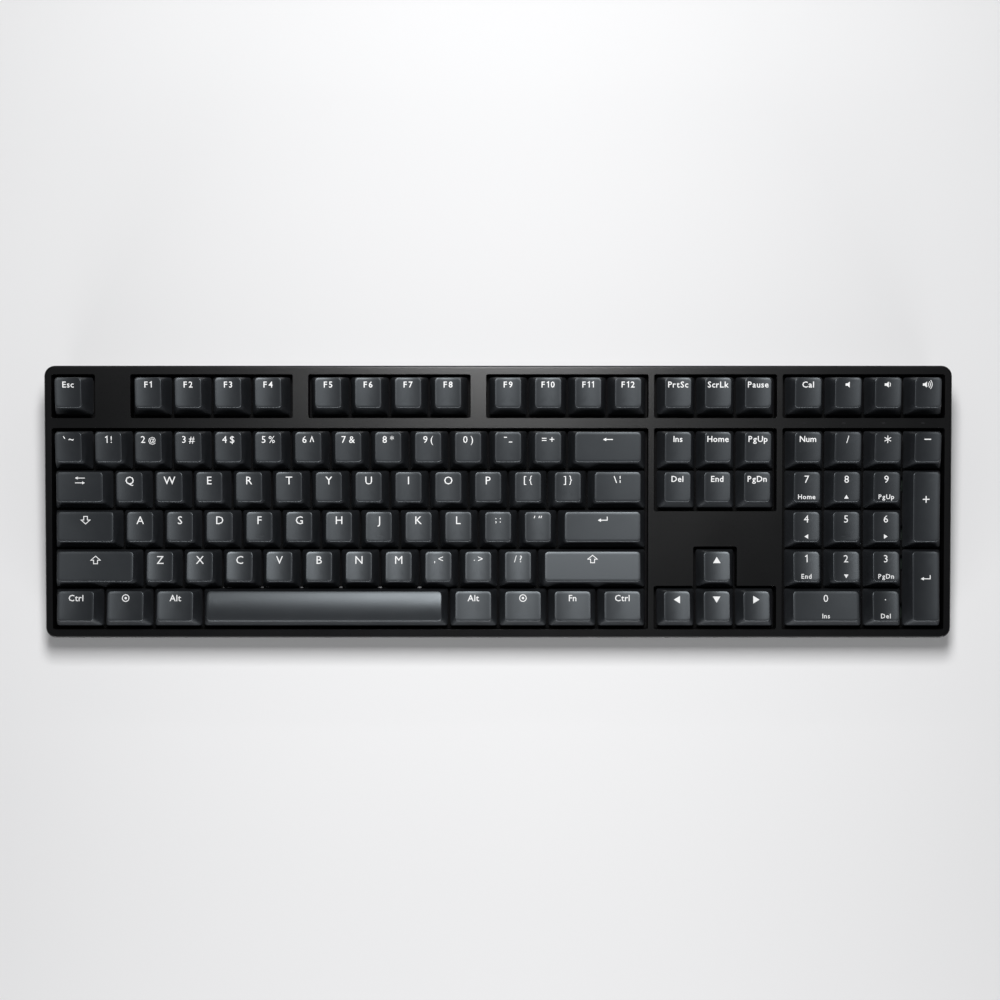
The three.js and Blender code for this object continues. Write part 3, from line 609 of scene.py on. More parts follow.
def keycap_tree():
    inputs = {label: (FLOAT, value) for label, value in KEYCAP_SIZES.items()}
    inputs["Material"] = (MATERIAL, None)
    tree, given, result = new_tree("keycap", "GeometryNodeTree", inputs, {"Geometry": (GEOMETRY, None)})
    size = {label: Field(given.outputs[label]) for label in KEYCAP_SIZES}
    half = size["Top Width"].maths("MINIMUM", size["Top Depth"]) * 0.5
    rings = keycap_rings(size["Wall"], size["Rim"], half)

    grid = add(tree, "GeometryNodeMeshGrid",
               {"Size X": float(COLUMNS), "Size Y": float(len(rings) - 1),
                "Vertices X": COLUMNS + 1, "Vertices Y": len(rings)})
    place = add(tree, "ShaderNodeSeparateXYZ", {0: add(tree, "GeometryNodeInputPosition").outputs[0]})
    column = (Field(place.outputs["X"]) + COLUMNS / 2).maths("ROUND")
    row = (Field(place.outputs["Y"]) + (len(rings) - 1) / 2).maths("ROUND")
    level, inset, lift = (pick(tree, row, items) for items in zip(*rings))

    # Where a column stands: its corner, how far round that corner, how far along the next side.
    per_corner = CORNER_STEPS + SIDE_STEPS
    corner = (column / per_corner).maths("FLOOR")
    step = column - corner * per_corner
    turn = (corner + (step / CORNER_STEPS).maths("MINIMUM", 1.0)) * (math.pi / 2)
    along = ((step - CORNER_STEPS) / SIDE_STEPS).maths("MAXIMUM", 0.0)
    towards = corner * (math.pi / 2) + math.pi / 4
    sign_x = [(towards + turned).maths("COSINE").maths("SIGN") for turned in (0, math.pi / 2)]
    sign_y = [(towards + turned).maths("SINE").maths("SIGN") for turned in (0, math.pi / 2)]

    half_x = blend(size["Width"], size["Top Width"], level) * 0.5 - inset
    half_y = blend(size["Depth"], size["Top Depth"], level) * 0.5 - inset
    radius = (blend(size["Foot Corner"], size["Top Corner"], level) - inset).maths("MAXIMUM", 0.0)
    x = blend(*sign_x, along) * (half_x - radius) + radius * turn.maths("COSINE")
    y_local = blend(*sign_y, along) * (half_y - radius) + radius * turn.maths("SINE")

    # Height of the top surface over this point: a slope, less the dish, plus the crown.
    across = x / (size["Top Width"] * 0.5)
    deep = y_local / (size["Top Depth"] * 0.5)
    slope = blend(size["Front Height"], size["Rear Height"], deep * 0.5 + 0.5)
    dip = size["Dish"] * (1 - (across * across).maths("MINIMUM", 1.0))
    swell = size["Crown"] * (1 - (deep * deep).maths("MINIMUM", 1.0))
    z = (slope - dip + swell) * level + lift
    y = y_local + size["Top Shift"] * level

    position = add(tree, "ShaderNodeCombineXYZ", {"X": x, "Y": y, "Z": z})
    wrapped = add(tree, "GeometryNodeSetPosition",
                  {"Geometry": grid.outputs["Mesh"], "Position": position.outputs[0]})
    closed = add(tree, "GeometryNodeMergeByDistance",
                 {"Geometry": wrapped.outputs[0], "Distance": SEAM})
    return end_tree(tree, closed.outputs[0], given, result)


KEYCAP = keycap_tree()
print("keycap tree:", len(KEYCAP.nodes), "nodes")

# %% [markdown]
# The legends of a good keycap are not printed: white plastic is moulded right through the dark shell,
# so letters lie flush with the top. We need the same surface formula in Python, to lay letters on it.

# %% The top surface as a formula
DISH, WIDE_DISH = 0.75, 0.5
TOP_CORNER, RIM = 1.9, 0.35
BAR_CROWN, BAR_DROP = 1.1, 0.4  # the space bar is crowned from front to rear, on lower edges
FALL_OF_ROW = [0, 0, 0, 0.35, 0.8, 0.95]  # how much the near rows lean back beyond the plain solids


def cap_sizes(key):
    bar = key["name"] == "space"
    dish = 0.0 if bar else (WIDE_DISH if key["width"] > 2.5 * UNIT else DISH)
    fall = FALL_OF_ROW[key["row"]] / 2
    drop = BAR_DROP if bar else 0.0
    return {
        "Width": key["width"], "Depth": key["depth"],
        "Top Width": key["top_width"], "Top Depth": key["top_depth"], "Top Shift": key["top_shift"],
        "Front Height": key["top_front"] + fall - drop, "Rear Height": key["top_rear"] - fall - drop,
        "Dish": dish, "Crown": BAR_CROWN if bar else 0.0,
        "Foot Corner": 1.0, "Top Corner": TOP_CORNER, "Wall": 1.5, "Rim": RIM,
    }


def top_height(size, x, y):
    across = x / (size["Top Width"] / 2)
    deep = (y - size["Top Shift"]) / (size["Top Depth"] / 2)
    slope = blend(size["Front Height"], size["Rear Height"], deep / 2 + 0.5)
    return slope - size["Dish"] * (1 - min(across**2, 1)) + size["Crown"] * (1 - min(deep**2, 1))


print("top of Q at its middle:", round(top_height(cap_sizes(keys[13]), 0, 1.3), 2), "mm")

# %% [markdown]
# ## Letters and signs
# Letters come from Blender's built-in sans serif, turned into a thin slab of mesh. The signs (arrows, a
# speaker, a plain ringed dot on the system keys) are drawn from strokes and filled outlines. Both are
# lists of flat faces at first, and get their thickness in one step.

# %% Slabs from flat outlines
INLAY = 0.04


def slab(outlines):
    """Filled flat outlines as one thin closed mesh, from -INLAY to +INLAY."""
    shape = bmesh.new()
    for outline in outlines:
        shape.faces.new([shape.verts.new((x, y, INLAY)) for x, y in outline])
    bmesh.ops.remove_doubles(shape, verts=shape.verts, dist=1e-4)
    bottom = bmesh.ops.extrude_face_region(shape, geom=shape.faces[:])
    moved = [v for v in bottom["geom"] if isinstance(v, bmesh.types.BMVert)]
    bmesh.ops.translate(shape, verts=moved, vec=(0, 0, -2 * INLAY))
    return mesh_from(shape)


def stroke(points, width, closed=False):
    """A pen line through these points, as four-sided outlines with mitred joints."""
    points = [Vector(p) for p in points]
    count = len(points)
    edges = []
    for i, p in enumerate(points):
        before = points[i - 1] if i or closed else None
        after = points[(i + 1) % count] if i + 1 < count or closed else None
        into = (p - before).normalized() if before is not None else (after - p).normalized()
        out = (after - p).normalized() if after is not None else into
        normal = Vector((-(into + out).y, (into + out).x)).normalized()
        reach = width / 2 / max(0.4, normal.dot(Vector((-into.y, into.x))))
        edges.append((p + normal * reach, p - normal * reach))
    pairs = list(zip(edges, edges[1:] + edges[:1] if closed else edges[1:]))
    return [[b[0], a[0], a[1], b[1]] for a, b in pairs]


def arc(x, y, radius, start, stop, steps=8):
    angles = [math.radians(start + (stop - start) * i / steps) for i in range(steps + 1)]
    return [(x + radius * math.cos(a), y + radius * math.sin(a)) for a in angles]


def turned(outlines, degrees):
    turn = Matrix.Rotation(math.radians(degrees), 2)
    return [[turn @ Vector(p) for p in outline] for outline in outlines]


def moved(outlines, dx, dy):
    return [[Vector(p) + Vector((dx, dy)) for p in outline] for outline in outlines]


print("pen ready")

# %% The signs
PEN, FINE_PEN, BROAD_PEN = 0.42, 0.36, 0.5


def arrow(length, head, pen=PEN):
    """An arrow that points left, centred on its length."""
    tip = -length / 2
    shaft = stroke([(tip + head * 0.8, 0), (length / 2, 0)], pen)
    return [[(tip, 0), (tip + head, -head * 0.55), (tip + head, head * 0.55)], *shaft]


def hooked_arrow(length, hook):
    shaft = stroke([(-length / 2 + 1.2, 0), (length / 2, 0), (length / 2, hook)], PEN)
    return [[(-length / 2, 0), (-length / 2 + 1.5, -0.85), (-length / 2 + 1.5, 0.85)], *shaft]


def hollow_arrow(width, height):
    """An outlined arrow that points up."""
    w, h = width / 2, height / 2
    neck = 0.42 * w
    points = [(0, h), (w, -0.05 * h), (neck, -0.05 * h), (neck, -h), (-neck, -h), (-neck, -0.05 * h),
              (-w, -0.05 * h)]
    return stroke(points[::-1], 0.38, closed=True)


def speaker(waves):
    cone = [[(-1.2, -0.55), (-0.3, -0.55), (-0.3, 0.55), (-1.2, 0.55)],
            [(-0.3, -0.55), (0.75, -1.4), (0.75, 1.4), (-0.3, 0.55)]]
    arcs = [s for i in range(waves) for s in stroke(arc(0.2, 0, 1.35 + 0.85 * i, -42, 42), 0.3)]
    return moved(cone + arcs, -0.45 * waves, 0)


def triangle(size):
    half, rise = size * 0.52, size * 0.43
    return [[(0, rise), (-half, -rise), (half, -rise)]]


def star(arms, reach):
    arm = stroke([(0, -reach), (0, reach)], FINE_PEN)
    return [outline for i in range(arms // 2) for outline in turned(arm, i * 360 / arms)]


SIGNS = {
    "long_left": arrow(4.7, 1.5),
    "tab": moved(arrow(4.7, 1.3, FINE_PEN), 0, 1.15)
    + moved(turned(arrow(4.7, 1.3, FINE_PEN), 180), 0, -1.15),
    "enter": hooked_arrow(4.5, 1.7),
    "caps": turned(hollow_arrow(4.2, 3.6), 180),
    "shift": hollow_arrow(4.5, 3.6),
    "system": stroke(arc(0, 0, 1.6, 0, 337.5, 15), PEN, closed=True) + [arc(0, 0, 0.62, 0, 330, 11)],
    "speaker": speaker(0), "speaker_low": speaker(1), "speaker_high": speaker(3),
    **{prefix + name: turned(triangle(size), degrees)
       for prefix, size in (("", 3.5), ("small_", 2.1))
       for name, degrees in (("up", 0), ("left", 90), ("down", 180), ("right", -90))},
    "minus": stroke([(-2.0, 1.05), (-0.55, 1.05)], PEN) + stroke([(0.35, -1.2), (2.0, -1.2)], PEN),
    "bars": stroke([(-1.7, 1.65), (-0.5, -1.65)], PEN) + stroke([(1.2, 1.65), (1.2, 0.35)], PEN)
    + stroke([(1.2, -0.35), (1.2, -1.65)], PEN),
    "star": star(6, 1.8),
    "dash": stroke([(-1.6, 0), (1.6, 0)], BROAD_PEN),
    "plus": stroke([(-1.6, 0), (1.6, 0)], BROAD_PEN) + stroke([(0, 0.25), (0, 1.6)], BROAD_PEN)
    + stroke([(0, -1.6), (0, -0.25)], BROAD_PEN),
}
print(len(SIGNS), "signs")

# %% [markdown]
# A style says how tall the capitals are, how far their middle is from the rear edge of the top face, how
# bold they are and how widely spaced. Lower legends are measured from the front edge instead.

# %% Legends laid on a cap
CAPITAL = 0.682  # height of a capital over the size of the built-in letters
PEN_SHARE = 0.13  # width of a letter's stroke over its height
STYLES = {
    "letter": {"height": 3.7, "from_rear": 4.1, "bold": 0.0, "gap": 0.2},
    "pair": {"height": 3.2, "from_rear": 3.6, "bold": 0.0, "gap": 0.26},
    "word": {"height": 2.75, "from_rear": 3.35, "bold": 0.04, "gap": 0.16},
    "spaced": {"height": 2.75, "from_rear": 3.35, "bold": 0.04, "gap": 0.32},
    "tight": {"height": 2.9, "from_rear": 3.35, "bold": 0.045, "gap": 0.1},
    "sign": {"height": 3.4, "from_rear": 4.1, "bold": 0.0, "gap": 0.2},
    "digit": {"height": 3.4, "from_rear": 3.5, "bold": 0.0, "gap": 0.2},
    "under": {"height": 2.15, "from_front": 2.5, "bold": 0.04, "gap": 0.2},
}
LOW_SIGNS = {"plus", "enter"}  # on a tall key these stand just above the middle
LOW_SIGN_LIFT = 3.6
SHRUNK = {"@": 0.82}  # letters that would crowd their cap

# Characters drawn here, in a square one capital high: strokes that the built-in letters lack.
DRAWN = {
    "1": [[(-0.17, 0.78), (0.1, 0.97), (0.1, 0)]],
    "^": [[(-0.27, 0.12), (0.0, 0.92), (0.27, 0.12)]],
    "`": [[(-0.12, 0.98), (0.1, 0.62)]],
    "'": [[(0.1, 1.0), (-0.02, 0.66)]],
    '"': [[(-0.1, 1.0), (-0.22, 0.66)], [(0.2, 1.0), (0.08, 0.66)]],
    "~": [[(-0.36, 0.42), (-0.22, 0.56), (0.0, 0.48), (0.22, 0.4), (0.36, 0.54)]],
    "-": [[(-0.3, 0.45), (0.3, 0.45)]],
    ".": [[(-0.07, 0.3), (0.07, 0.3)]],
}


def glyph(character, style):
    """One letter as a slab of mesh that stands on y = 0."""
    height = style["height"]
    if character in DRAWN:
        pen = PEN_SHARE * height + 2 * style["bold"]
        lines = [[Vector(p) * height for p in line] for line in DRAWN[character]]
        return slab([outline for line in lines for outline in stroke(line, pen)])
    curve = bpy.data.curves.new("letter", "FONT")
    curve.body = character
    curve.size = height / CAPITAL
    curve.resolution_u = 2
    curve.extrude = INLAY
    curve.offset = style["bold"]
    mesh = evaluated_mesh(link_object(curve))
    mesh.transform(Matrix.Diagonal((*[SHRUNK.get(character, 1.0)] * 2, 1.0, 1.0)))
    return mesh


def letters_mesh(text, style):
    """Letters side by side, with the same gap between their inked parts, centred on x."""
    gap = style["gap"] * style["height"]
    meshes, pen = [], 0.0
    for character in text:
        if character == " ":
            pen += gap * 0.8
            continue
        mesh = glyph(character, style)
        left = min(v.co.x for v in mesh.vertices)
        right = max(v.co.x for v in mesh.vertices)
        mesh.transform(Matrix.Translation((pen - left, -style["height"] / 2, 0)))
        meshes.append(mesh)
        pen += right - left + gap
    mesh = joined(meshes)
    mesh.transform(Matrix.Translation(((gap - pen) / 2, 0, 0)))
    return mesh


def link_object(data):
    carrier = bpy.data.objects.new("carrier", data)
    bpy.context.scene.collection.objects.link(carrier)
    return carrier


def lay_on_cap(mesh, size, x, y):
    """Drops a flat mark onto the top face, keeping its thickness."""
    for vertex in mesh.vertices:
        vertex.co.x += x
        vertex.co.y += y
        vertex.co.z += top_height(size, vertex.co.x, vertex.co.y)
    return mesh


def cap_legends(key, size):
    marks = []
    rear = size["Top Shift"] + size["Top Depth"] / 2
    front = size["Top Shift"] - size["Top Depth"] / 2
    for text, style in zip(key["legend"].split("|"), (STYLES[key["style"]], STYLES["under"])):
        if not text:
            continue
        y = front + style["from_front"] if "from_front" in style else rear - style["from_rear"]
        if text[0] == "@":
            if key["units"][1] > 1 and text[1:] in LOW_SIGNS:
                y = size["Top Shift"] + LOW_SIGN_LIFT
            mesh = slab(SIGNS[text[1:]])
        else:
            mesh = letters_mesh(text, style)
        marks.append(lay_on_cap(mesh, size, 0, y))
    return marks


print("styles:", ", ".join(STYLES))

# %% [markdown]
# Most of the small solids that follow are lofts: a stack of rings with the same number of points, joined
# by side walls and closed at both ends. The rings can be round, crossed, square or rounded.

# %% Rings and lofts
def lofted(rings):
    """A closed solid through rings of points, with a flat face on the first and the last."""
    shape = bmesh.new()
    rows = [[shape.verts.new(point) for point in ring] for ring in rings]
    for low, high in zip(rows, rows[1:]):
        for i in range(len(low)):
            j = (i + 1) % len(low)
            shape.faces.new((low[i], low[j], high[j], high[i]))
    shape.faces.new(rows[0][::-1])
    shape.faces.new(rows[-1])
    return mesh_from(shape)


def round_ring(radius, z, steps=24):
    angles = [2 * math.pi * i / steps for i in range(steps)]
    return [(radius * math.cos(a), radius * math.sin(a), z) for a in angles]


def cross_ring(arm, blade, z, steps=24):
    """A ring in the outline of a cross, with arms this long and half this wide."""
    ring = []
    for x, y, _ in round_ring(1.0, z, steps):
        major, minor = max(abs(x), abs(y)), min(abs(x), abs(y))
        reach = min(arm / major, blade / max(minor, 1e-6))
        ring.append((reach * x, reach * y, z))
    return ring


def rectangle_ring(half_x, half_y, z):
    return [(half_x, half_y, z), (-half_x, half_y, z), (-half_x, -half_y, z), (half_x, -half_y, z)]


def rounded(half_x, half_y, radius, z, steps=4):
    """A ring round a rectangle with round corners."""
    ring = []
    for turn, (sign_x, sign_y) in enumerate(((1, 1), (-1, 1), (-1, -1), (1, -1))):
        corner = (sign_x * (half_x - radius), sign_y * (half_y - radius))
        ring += [(x, y, z) for x, y in arc(*corner, radius, 90 * turn, 90 * turn + 90, steps)]
    return ring


def soft_block(half_x, half_y, radius, low, high, edge):
    """A block with round corners and chamfered rims, between two heights."""
    levels = [(edge, low), (0, low + edge), (0, high - edge), (edge, high)]
    return lofted([rounded(half_x - i, half_y - i, max(radius - i, 0.02), z) for i, z in levels])


print("points of a rounded ring:", len(rounded(5, 2, 1, 0)))

# %% [markdown]
# Under each cap hang posts: one with a cross-shaped socket for the switch stem, and plain-looking twins
# on the long keys for the stabiliser. F, J and the pad's 5 carry a short ridge near the front edge, so
# that hands find home without looking.

# %% Posts and ridges
POST_RADIUS, POST_LIFT = 2.75, 0.6
POST_ROOT = 1.2  # the post ends this far inside the cap's roof, and its socket this far short of that
CROSS, BLADE = 2.15, 0.75
BAR_REACH, LONG_KEY_REACH = 50, 11.94


def post_mesh(roof):
    """A round post with a cross-shaped socket in its lower end."""
    return lofted([
        round_ring(POST_RADIUS, roof), round_ring(POST_RADIUS, POST_LIFT),
        cross_ring(CROSS, BLADE, POST_LIFT), cross_ring(CROSS, BLADE, roof - POST_ROOT),
    ])


def stabiliser_reach(units):
    """How far from its middle a key this long has its outer posts."""
    if units < 2:
        return 0
    return BAR_REACH if units > 6 else LONG_KEY_REACH


def post_places(key):
    across, along = (stabiliser_reach(units) for units in key["units"])
    places = [(0, 0)]
    if across:
        places += [(-across, 0), (across, 0)]
    if along:
        places += [(0, -along), (0, along)]
    return places


def ridge(size):
    outline = [(-1.7, 0.2), *arc(-1.7, 0, 0.2, 90, 270, 4), *arc(1.7, 0, 0.2, -90, 90, 4)]
    mesh = slab([outline[1:]])
    mesh.transform(Matrix.Scale(5, 4, (0, 0, 1)))
    return lay_on_cap(mesh, size, 0, size["Top Shift"] - size["Top Depth"] / 2 + 2.6)


print("a 2-unit key has", len(post_places({"units": (2, 1)})), "posts")

# %% [markdown]
# Now the caps can be made. Each is one piece with two materials, as the real one is one moulding of two
# plastics, and rides on the body of its CAD key.

# %% Make the keycaps
HOME_KEYS = {"f", "j", "pad_5"}


def make_cap(key):
    size = cap_sizes(key)
    shell = grow(KEYCAP, {**size, "Material": CAP})
    parts = [shell]
    for x, y in post_places(key):
        post = post_mesh(top_height(size, x, y) - POST_ROOT)
        post.transform(Matrix.Translation((x, y, 0)))
        parts.append(post)
    if key["name"] in HOME_KEYS:
        parts.append(ridge(size))
    marks = cap_legends(key, size)
    dark_faces = sum(len(mesh.polygons) for mesh in parts)
    mesh = joined(parts + marks)
    mesh.materials.append(CAP)
    mesh.materials.append(LEGEND)
    for i, face in enumerate(mesh.polygons):
        face.material_index = int(i >= dark_faces)
    smooth(mesh, 40)
    mesh.transform(Matrix.Translation((key["x"], key["y"], CAP_LIFT)))
    node = "esc_keycap" if key["body"] == "esc_key" else key["body"]
    return finish_piece("keycap_" + key["name"], mesh, key["body"], [node])


caps = [make_cap(key) for key in keys]
print(len(caps), "caps,", sum(len(cap.data.polygons) for cap in caps), "faces")

# %% [markdown]
# ## Refining the case
# The CAD shells are exact but their edges are knife sharp. Real mouldings have a small radius on every
# edge, and that radius is what catches the light. We copy a shell, merge its loose triangles into large
# faces and bevel the sharp edges. Then each corner of each face is told its normal, so that the flat
# walls shade flat and only the bevels roll.

# %% Even shading
FLAT_AREA = 60 * MM**2  # a face at least this large is shaded flat
SMOOTH_TURN = math.cos(math.radians(50))  # smaller faces blend with neighbours that turn less than this


def even_shading(mesh):
    """Large faces stay flat right up to their bevels, and each bevel rolls from one to the next."""
    faces_at = [[] for _ in mesh.vertices]
    for face in mesh.polygons:
        for vertex in face.vertices:
            faces_at[vertex].append(face)
    normals = []
    for face in mesh.polygons:
        for vertex in face.vertices:
            near = [f for f in faces_at[vertex] if f.normal.dot(face.normal) > SMOOTH_TURN]
            flat = [f for f in near if f.area > FLAT_AREA]
            total = sum((f.normal * f.area for f in flat or near), Vector())
            normals.append(face.normal if face.area > FLAT_AREA else total.normalized())
    mesh.normals_split_custom_set(normals)
    return mesh


print("faces over", FLAT_AREA / MM**2, "square mm are shaded flat")

# %% Refined copies of CAD shells
def refined(node, name, body, material, bevel, angle=32, segments=2):
    mesh = nodes[node].data.copy()
    mesh.materials.clear()
    shape = bmesh.new()
    shape.from_mesh(mesh)
    bmesh.ops.remove_doubles(shape, verts=shape.verts, dist=1e-6)
    bmesh.ops.dissolve_limit(
        shape, angle_limit=math.radians(0.4), verts=shape.verts, edges=shape.edges
    )
    shape.to_mesh(mesh)
    shape.free()
    mesh.shade_smooth()
    carrier = link_object(mesh)
    modifier = carrier.modifiers.new("edges", "BEVEL")
    modifier.width = bevel * MM
    modifier.segments = segments
    modifier.limit_method = "ANGLE"
    modifier.angle_limit = math.radians(angle)
    modifier.use_clamp_overlap = True
    mesh = clad(even_shading(evaluated_mesh(carrier)), material)
    return finish_piece(name, mesh, body, [node], Matrix.Identity(4))


shells = [
    refined("top_case", "upper_shell", "case", CASE_TOP, 0.28),
    refined("bottom_case", "lower_shell", "case", CASE_BASE, 0.22),
    refined("left_foot", "left_leg", "left_foot", CASE_BASE, 0.3),
    refined("right_foot", "right_leg", "right_foot", CASE_BASE, 0.3),
    refined("switch_plate", "coated_plate", "case", PLATE, 0.1),
]
print({s.name: len(s.data.polygons) for s in shells})

# %% [markdown]
# ## Finishes on the nodes that stay
# Some CAD nodes are already the right shape and only need a finish: the board, the Esc switch, the
# stabiliser wire. Their material slots are filled, and nothing else about them is touched.

# %% Finishes on CAD nodes
def dress(node, material):
    slots = nodes[node].material_slots
    if not slots:
        nodes[node].data.materials.append(material)
    for item in slots:
        item.material = material


KEPT = {
    "circuit_board": BOARD,
    "esc_switch_base": HOUSING, "esc_switch_cover": HOUSING, "esc_switch_stem": STEM,
    "space_stabiliser_wire": SCREW_STEEL,
}
for node, material in KEPT.items():
    dress(node, material)
print("dressed:", ", ".join(KEPT))

# %% [markdown]
# The Esc spring stands on the switch base and carries the stem, and in the real switch it shortens as the
# key goes down. Here its CAD mesh is copied in steel and stands at its rest length, in place of the hidden
# CAD node.

# %% The Esc spring
coils = clad(nodes["esc_switch_spring"].data.copy(), STEEL)
spring = link_object(coils)
spring.name = coils.name = "esc_spring_coils"
spring_low, spring_high = deck_box("esc_switch_spring")
spring_x, spring_y = (middle((spring_low, spring_high), axis) for axis in (0, 1))
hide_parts("esc_switch_spring")
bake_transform(spring)
print("spring", round(spring_high.z - spring_low.z, 2), "mm long at rest")

# %% [markdown]
# ## Things that repeat
# Screws, switches and contacts repeat, so one small tree stands copies of a piece on the points of a
# seed mesh. The piece is an input, the result is made real at once, and each use gives one plain mesh.

# %% Copies on points
def copies_tree():
    inputs = {
        "Geometry": (GEOMETRY, None), "Piece": ("NodeSocketObject", None),
        "Size": (FLOAT, 1.0), "Material": (MATERIAL, None),
    }
    tree, given, result = new_tree("copies_on_points", "GeometryNodeTree", inputs,
                                   {"Geometry": (GEOMETRY, None)})
    piece = add(tree, "GeometryNodeObjectInfo", {"Object": given.outputs["Piece"]})
    size = add(tree, "ShaderNodeCombineXYZ", {axis: given.outputs["Size"] for axis in "XYZ"})
    copies = add(tree, "GeometryNodeInstanceOnPoints",
                 {"Points": given.outputs["Geometry"], "Instance": piece.outputs["Geometry"],
                  "Scale": size.outputs[0]})
    return end_tree(tree, copies.outputs[0], given, result)


COPIES = copies_tree()


def repeat(piece_mesh, places, material):
    seed = bpy.data.meshes.new("seed")
    seed.from_pydata([tuple(p) for p in places], [], [])
    pattern = link_object(piece_mesh)
    mesh = grow(COPIES, {"Piece": pattern, "Material": material}, seed)
    bpy.data.objects.remove(pattern)
    return mesh


print("copies_on_points:", len(COPIES.nodes), "nodes")

# %% [markdown]
# A switch is a box in two halves, snapped together round the plate, with a tapering cover that the stem
# comes up through. Each is drawn once from stacked rings and repeated under every cap except Esc, whose
# switch is modelled in full. The stems ride with their keys.

# %% Switch housings and stems
SWITCH_RINGS = [  # half width, height
    (6.4, -4.6), (6.7, -4.2), (6.7, 0.1), (7.8, 0.1), (7.8, 0.9), (7.6, 1.1), (7.3, 1.1), (7.3, 1.4),
    (5.2, 5.8), (4.9, 6.0), (3.9, 6.0), (3.9, -2.4),
]


def stacked(rings, chamfer=0.5):
    """A closed solid from eight-sided rings of half width and height."""
    return lofted([rounded(half, half, min(chamfer, half / 3), z, 1) for half, z in rings])


def cross_stem():
    slider = stacked([(3.4, 2.2), (3.4, 6.4), (3.2, 6.6)], 0.3)
    blades = []
    for long_x in (True, False):
        blade = stacked([(2.0, 6.4), (2.0, 9.9), (1.85, 10.1)], 0.1)
        squeeze = Vector((1, 0.29, 1)) if long_x else Vector((0.29, 1, 0.999))
        blade.transform(Matrix.Diagonal((*squeeze, 1)))
        blades.append(blade)
    return joined([slider, *blades])


plain_keys = [key for key in keys if key["name"] != "esc"]
housings = repeat(stacked(SWITCH_RINGS), [(k["x"], k["y"], 0) for k in plain_keys], HOUSING)
finish_piece("switch_housings", smooth(housings), "case")
for body in sorted({key["body"] for key in plain_keys}):
    places = [(k["x"], k["y"], 0) for k in plain_keys if k["body"] == body]
    stems = repeat(cross_stem(), places, STEM)
    finish_piece("stems_of_" + body, smooth(stems), body)
print(len(plain_keys), "switch housings")

# %% [markdown]
# On the board's hidden side each key has a diode, which keeps keys that are held together from being
# mistaken for others, and a square controller sits near the lead's socket. Nobody sees them until the
# case comes apart, but they are what makes it a keyboard, and the copies tree makes them cheaply.

# %% Diodes and controller
DIODE_ASIDE, DIODE_BEFORE = 6.0, 6.5  # from the middle of its key
CONTROLLER_X, CONTROLLER_BEFORE = -90, 24  # from the middle and from the board's rear edge
LEGS_PER_SIDE, LEG_PITCH = 15, 0.5
board_low, board_high = deck_box("circuit_board")


def chip(half_x, half_y, thick):
    """A moulded chip that hangs under the board: its sides meet at a parting line."""
    return lofted([
        rectangle_ring(half_x * 0.92, half_y * 0.92, 0),
        rectangle_ring(half_x, half_y, -thick / 2),
        rectangle_ring(half_x * 0.92, half_y * 0.92, -thick),
    ])


diode_places = [(k["x"] + DIODE_ASIDE, k["y"] - DIODE_BEFORE, board_low.z) for k in plain_keys]
finish_piece("board_diodes", repeat(chip(1.4, 0.8, 0.9), diode_places, HOUSING), "case")
controller = chip(4.5, 4.5, 1.0)
leg_row = [((i - (LEGS_PER_SIDE - 1) / 2) * LEG_PITCH, 4.9, -0.35) for i in range(LEGS_PER_SIDE)]
legs = []
for side in range(4):
    row = repeat(chip(0.12, 0.6, 0.3), leg_row, STEEL)
    row.transform(Matrix.Rotation(side * math.pi / 2, 4, "Z"))
    legs.append(row)
controller_place = Matrix.Translation((CONTROLLER_X, board_high.y - CONTROLLER_BEFORE, board_low.z))
for name, mesh, material, slot in (
    ("controller_body", controller, HOUSING, "housing"),
    ("controller_legs", joined(legs), STEEL, "steel"),
):
    mesh.transform(controller_place)
    finish_piece(name, clad(mesh, material), "case")
print(len(diode_places), "diodes,", 4 * len(leg_row), "controller legs")

# %% [markdown]
# ## The lead's socket
# The socket is a flat oval of folded steel with a slightly flared mouth. A thin black tongue stands in
# the middle of it, with twelve gilt contacts on each face. Seen from behind, it is the only bright
# thing on the case, so it deserves its real parts.

# %% Socket
SOCKET_SKIN, FLARE = 0.35, 0.1
CONTACTS, CONTACT_PITCH = 12, 0.5
socket_low, socket_high = deck_box("usb_socket")
socket_size = socket_high - socket_low
socket_middle = (socket_low + socket_high) / 2
mouth = socket_size.y


def socket_ring(inset, z):
    half_x, half_y = socket_size.x / 2 - inset, socket_size.z / 2 - inset
    return rounded(half_x, half_y, half_y - 0.03, z)


socket_shell = lofted([
    socket_ring(FLARE + 0.15, 0), socket_ring(FLARE, 0.15), socket_ring(FLARE, mouth - 0.6),
    socket_ring(0, mouth - 0.1), socket_ring(0.08, mouth), socket_ring(SOCKET_SKIN - 0.1, mouth),
    socket_ring(FLARE + SOCKET_SKIN, mouth - 0.6), socket_ring(FLARE + SOCKET_SKIN, 1.0),
])
tongue = soft_block(3.3, 0.35, 0.12, 0.9, mouth - 0.8, 0.1)
contact_places = [((i - (CONTACTS - 1) / 2) * CONTACT_PITCH, face * 0.35, mouth - 4.3)
                  for i in range(CONTACTS) for face in (-1, 1)]
contacts = repeat(lofted([rectangle_ring(0.13, 0.04, 0), rectangle_ring(0.13, 0.04, 3.0)]),
                  contact_places, GOLD)
to_mouth = Matrix.Translation((socket_middle.x, socket_low.y, socket_middle.z)) @ Matrix.Rotation(
    -math.pi / 2, 4, "X")
for name, mesh, material, slot, stands_for in (
    ("socket_shell", socket_shell, STEEL, "steel", ["usb_socket"]),
    ("socket_tongue", tongue, HOUSING, "housing", []),
    ("socket_contacts", contacts, GOLD, "steel", []),
):
    mesh.transform(to_mouth)
    finish_piece(name, smooth(clad(mesh, material)), "case", stands_for)
print("socket", [round(v, 2) for v in socket_size], "with", len(contact_places), "contacts")

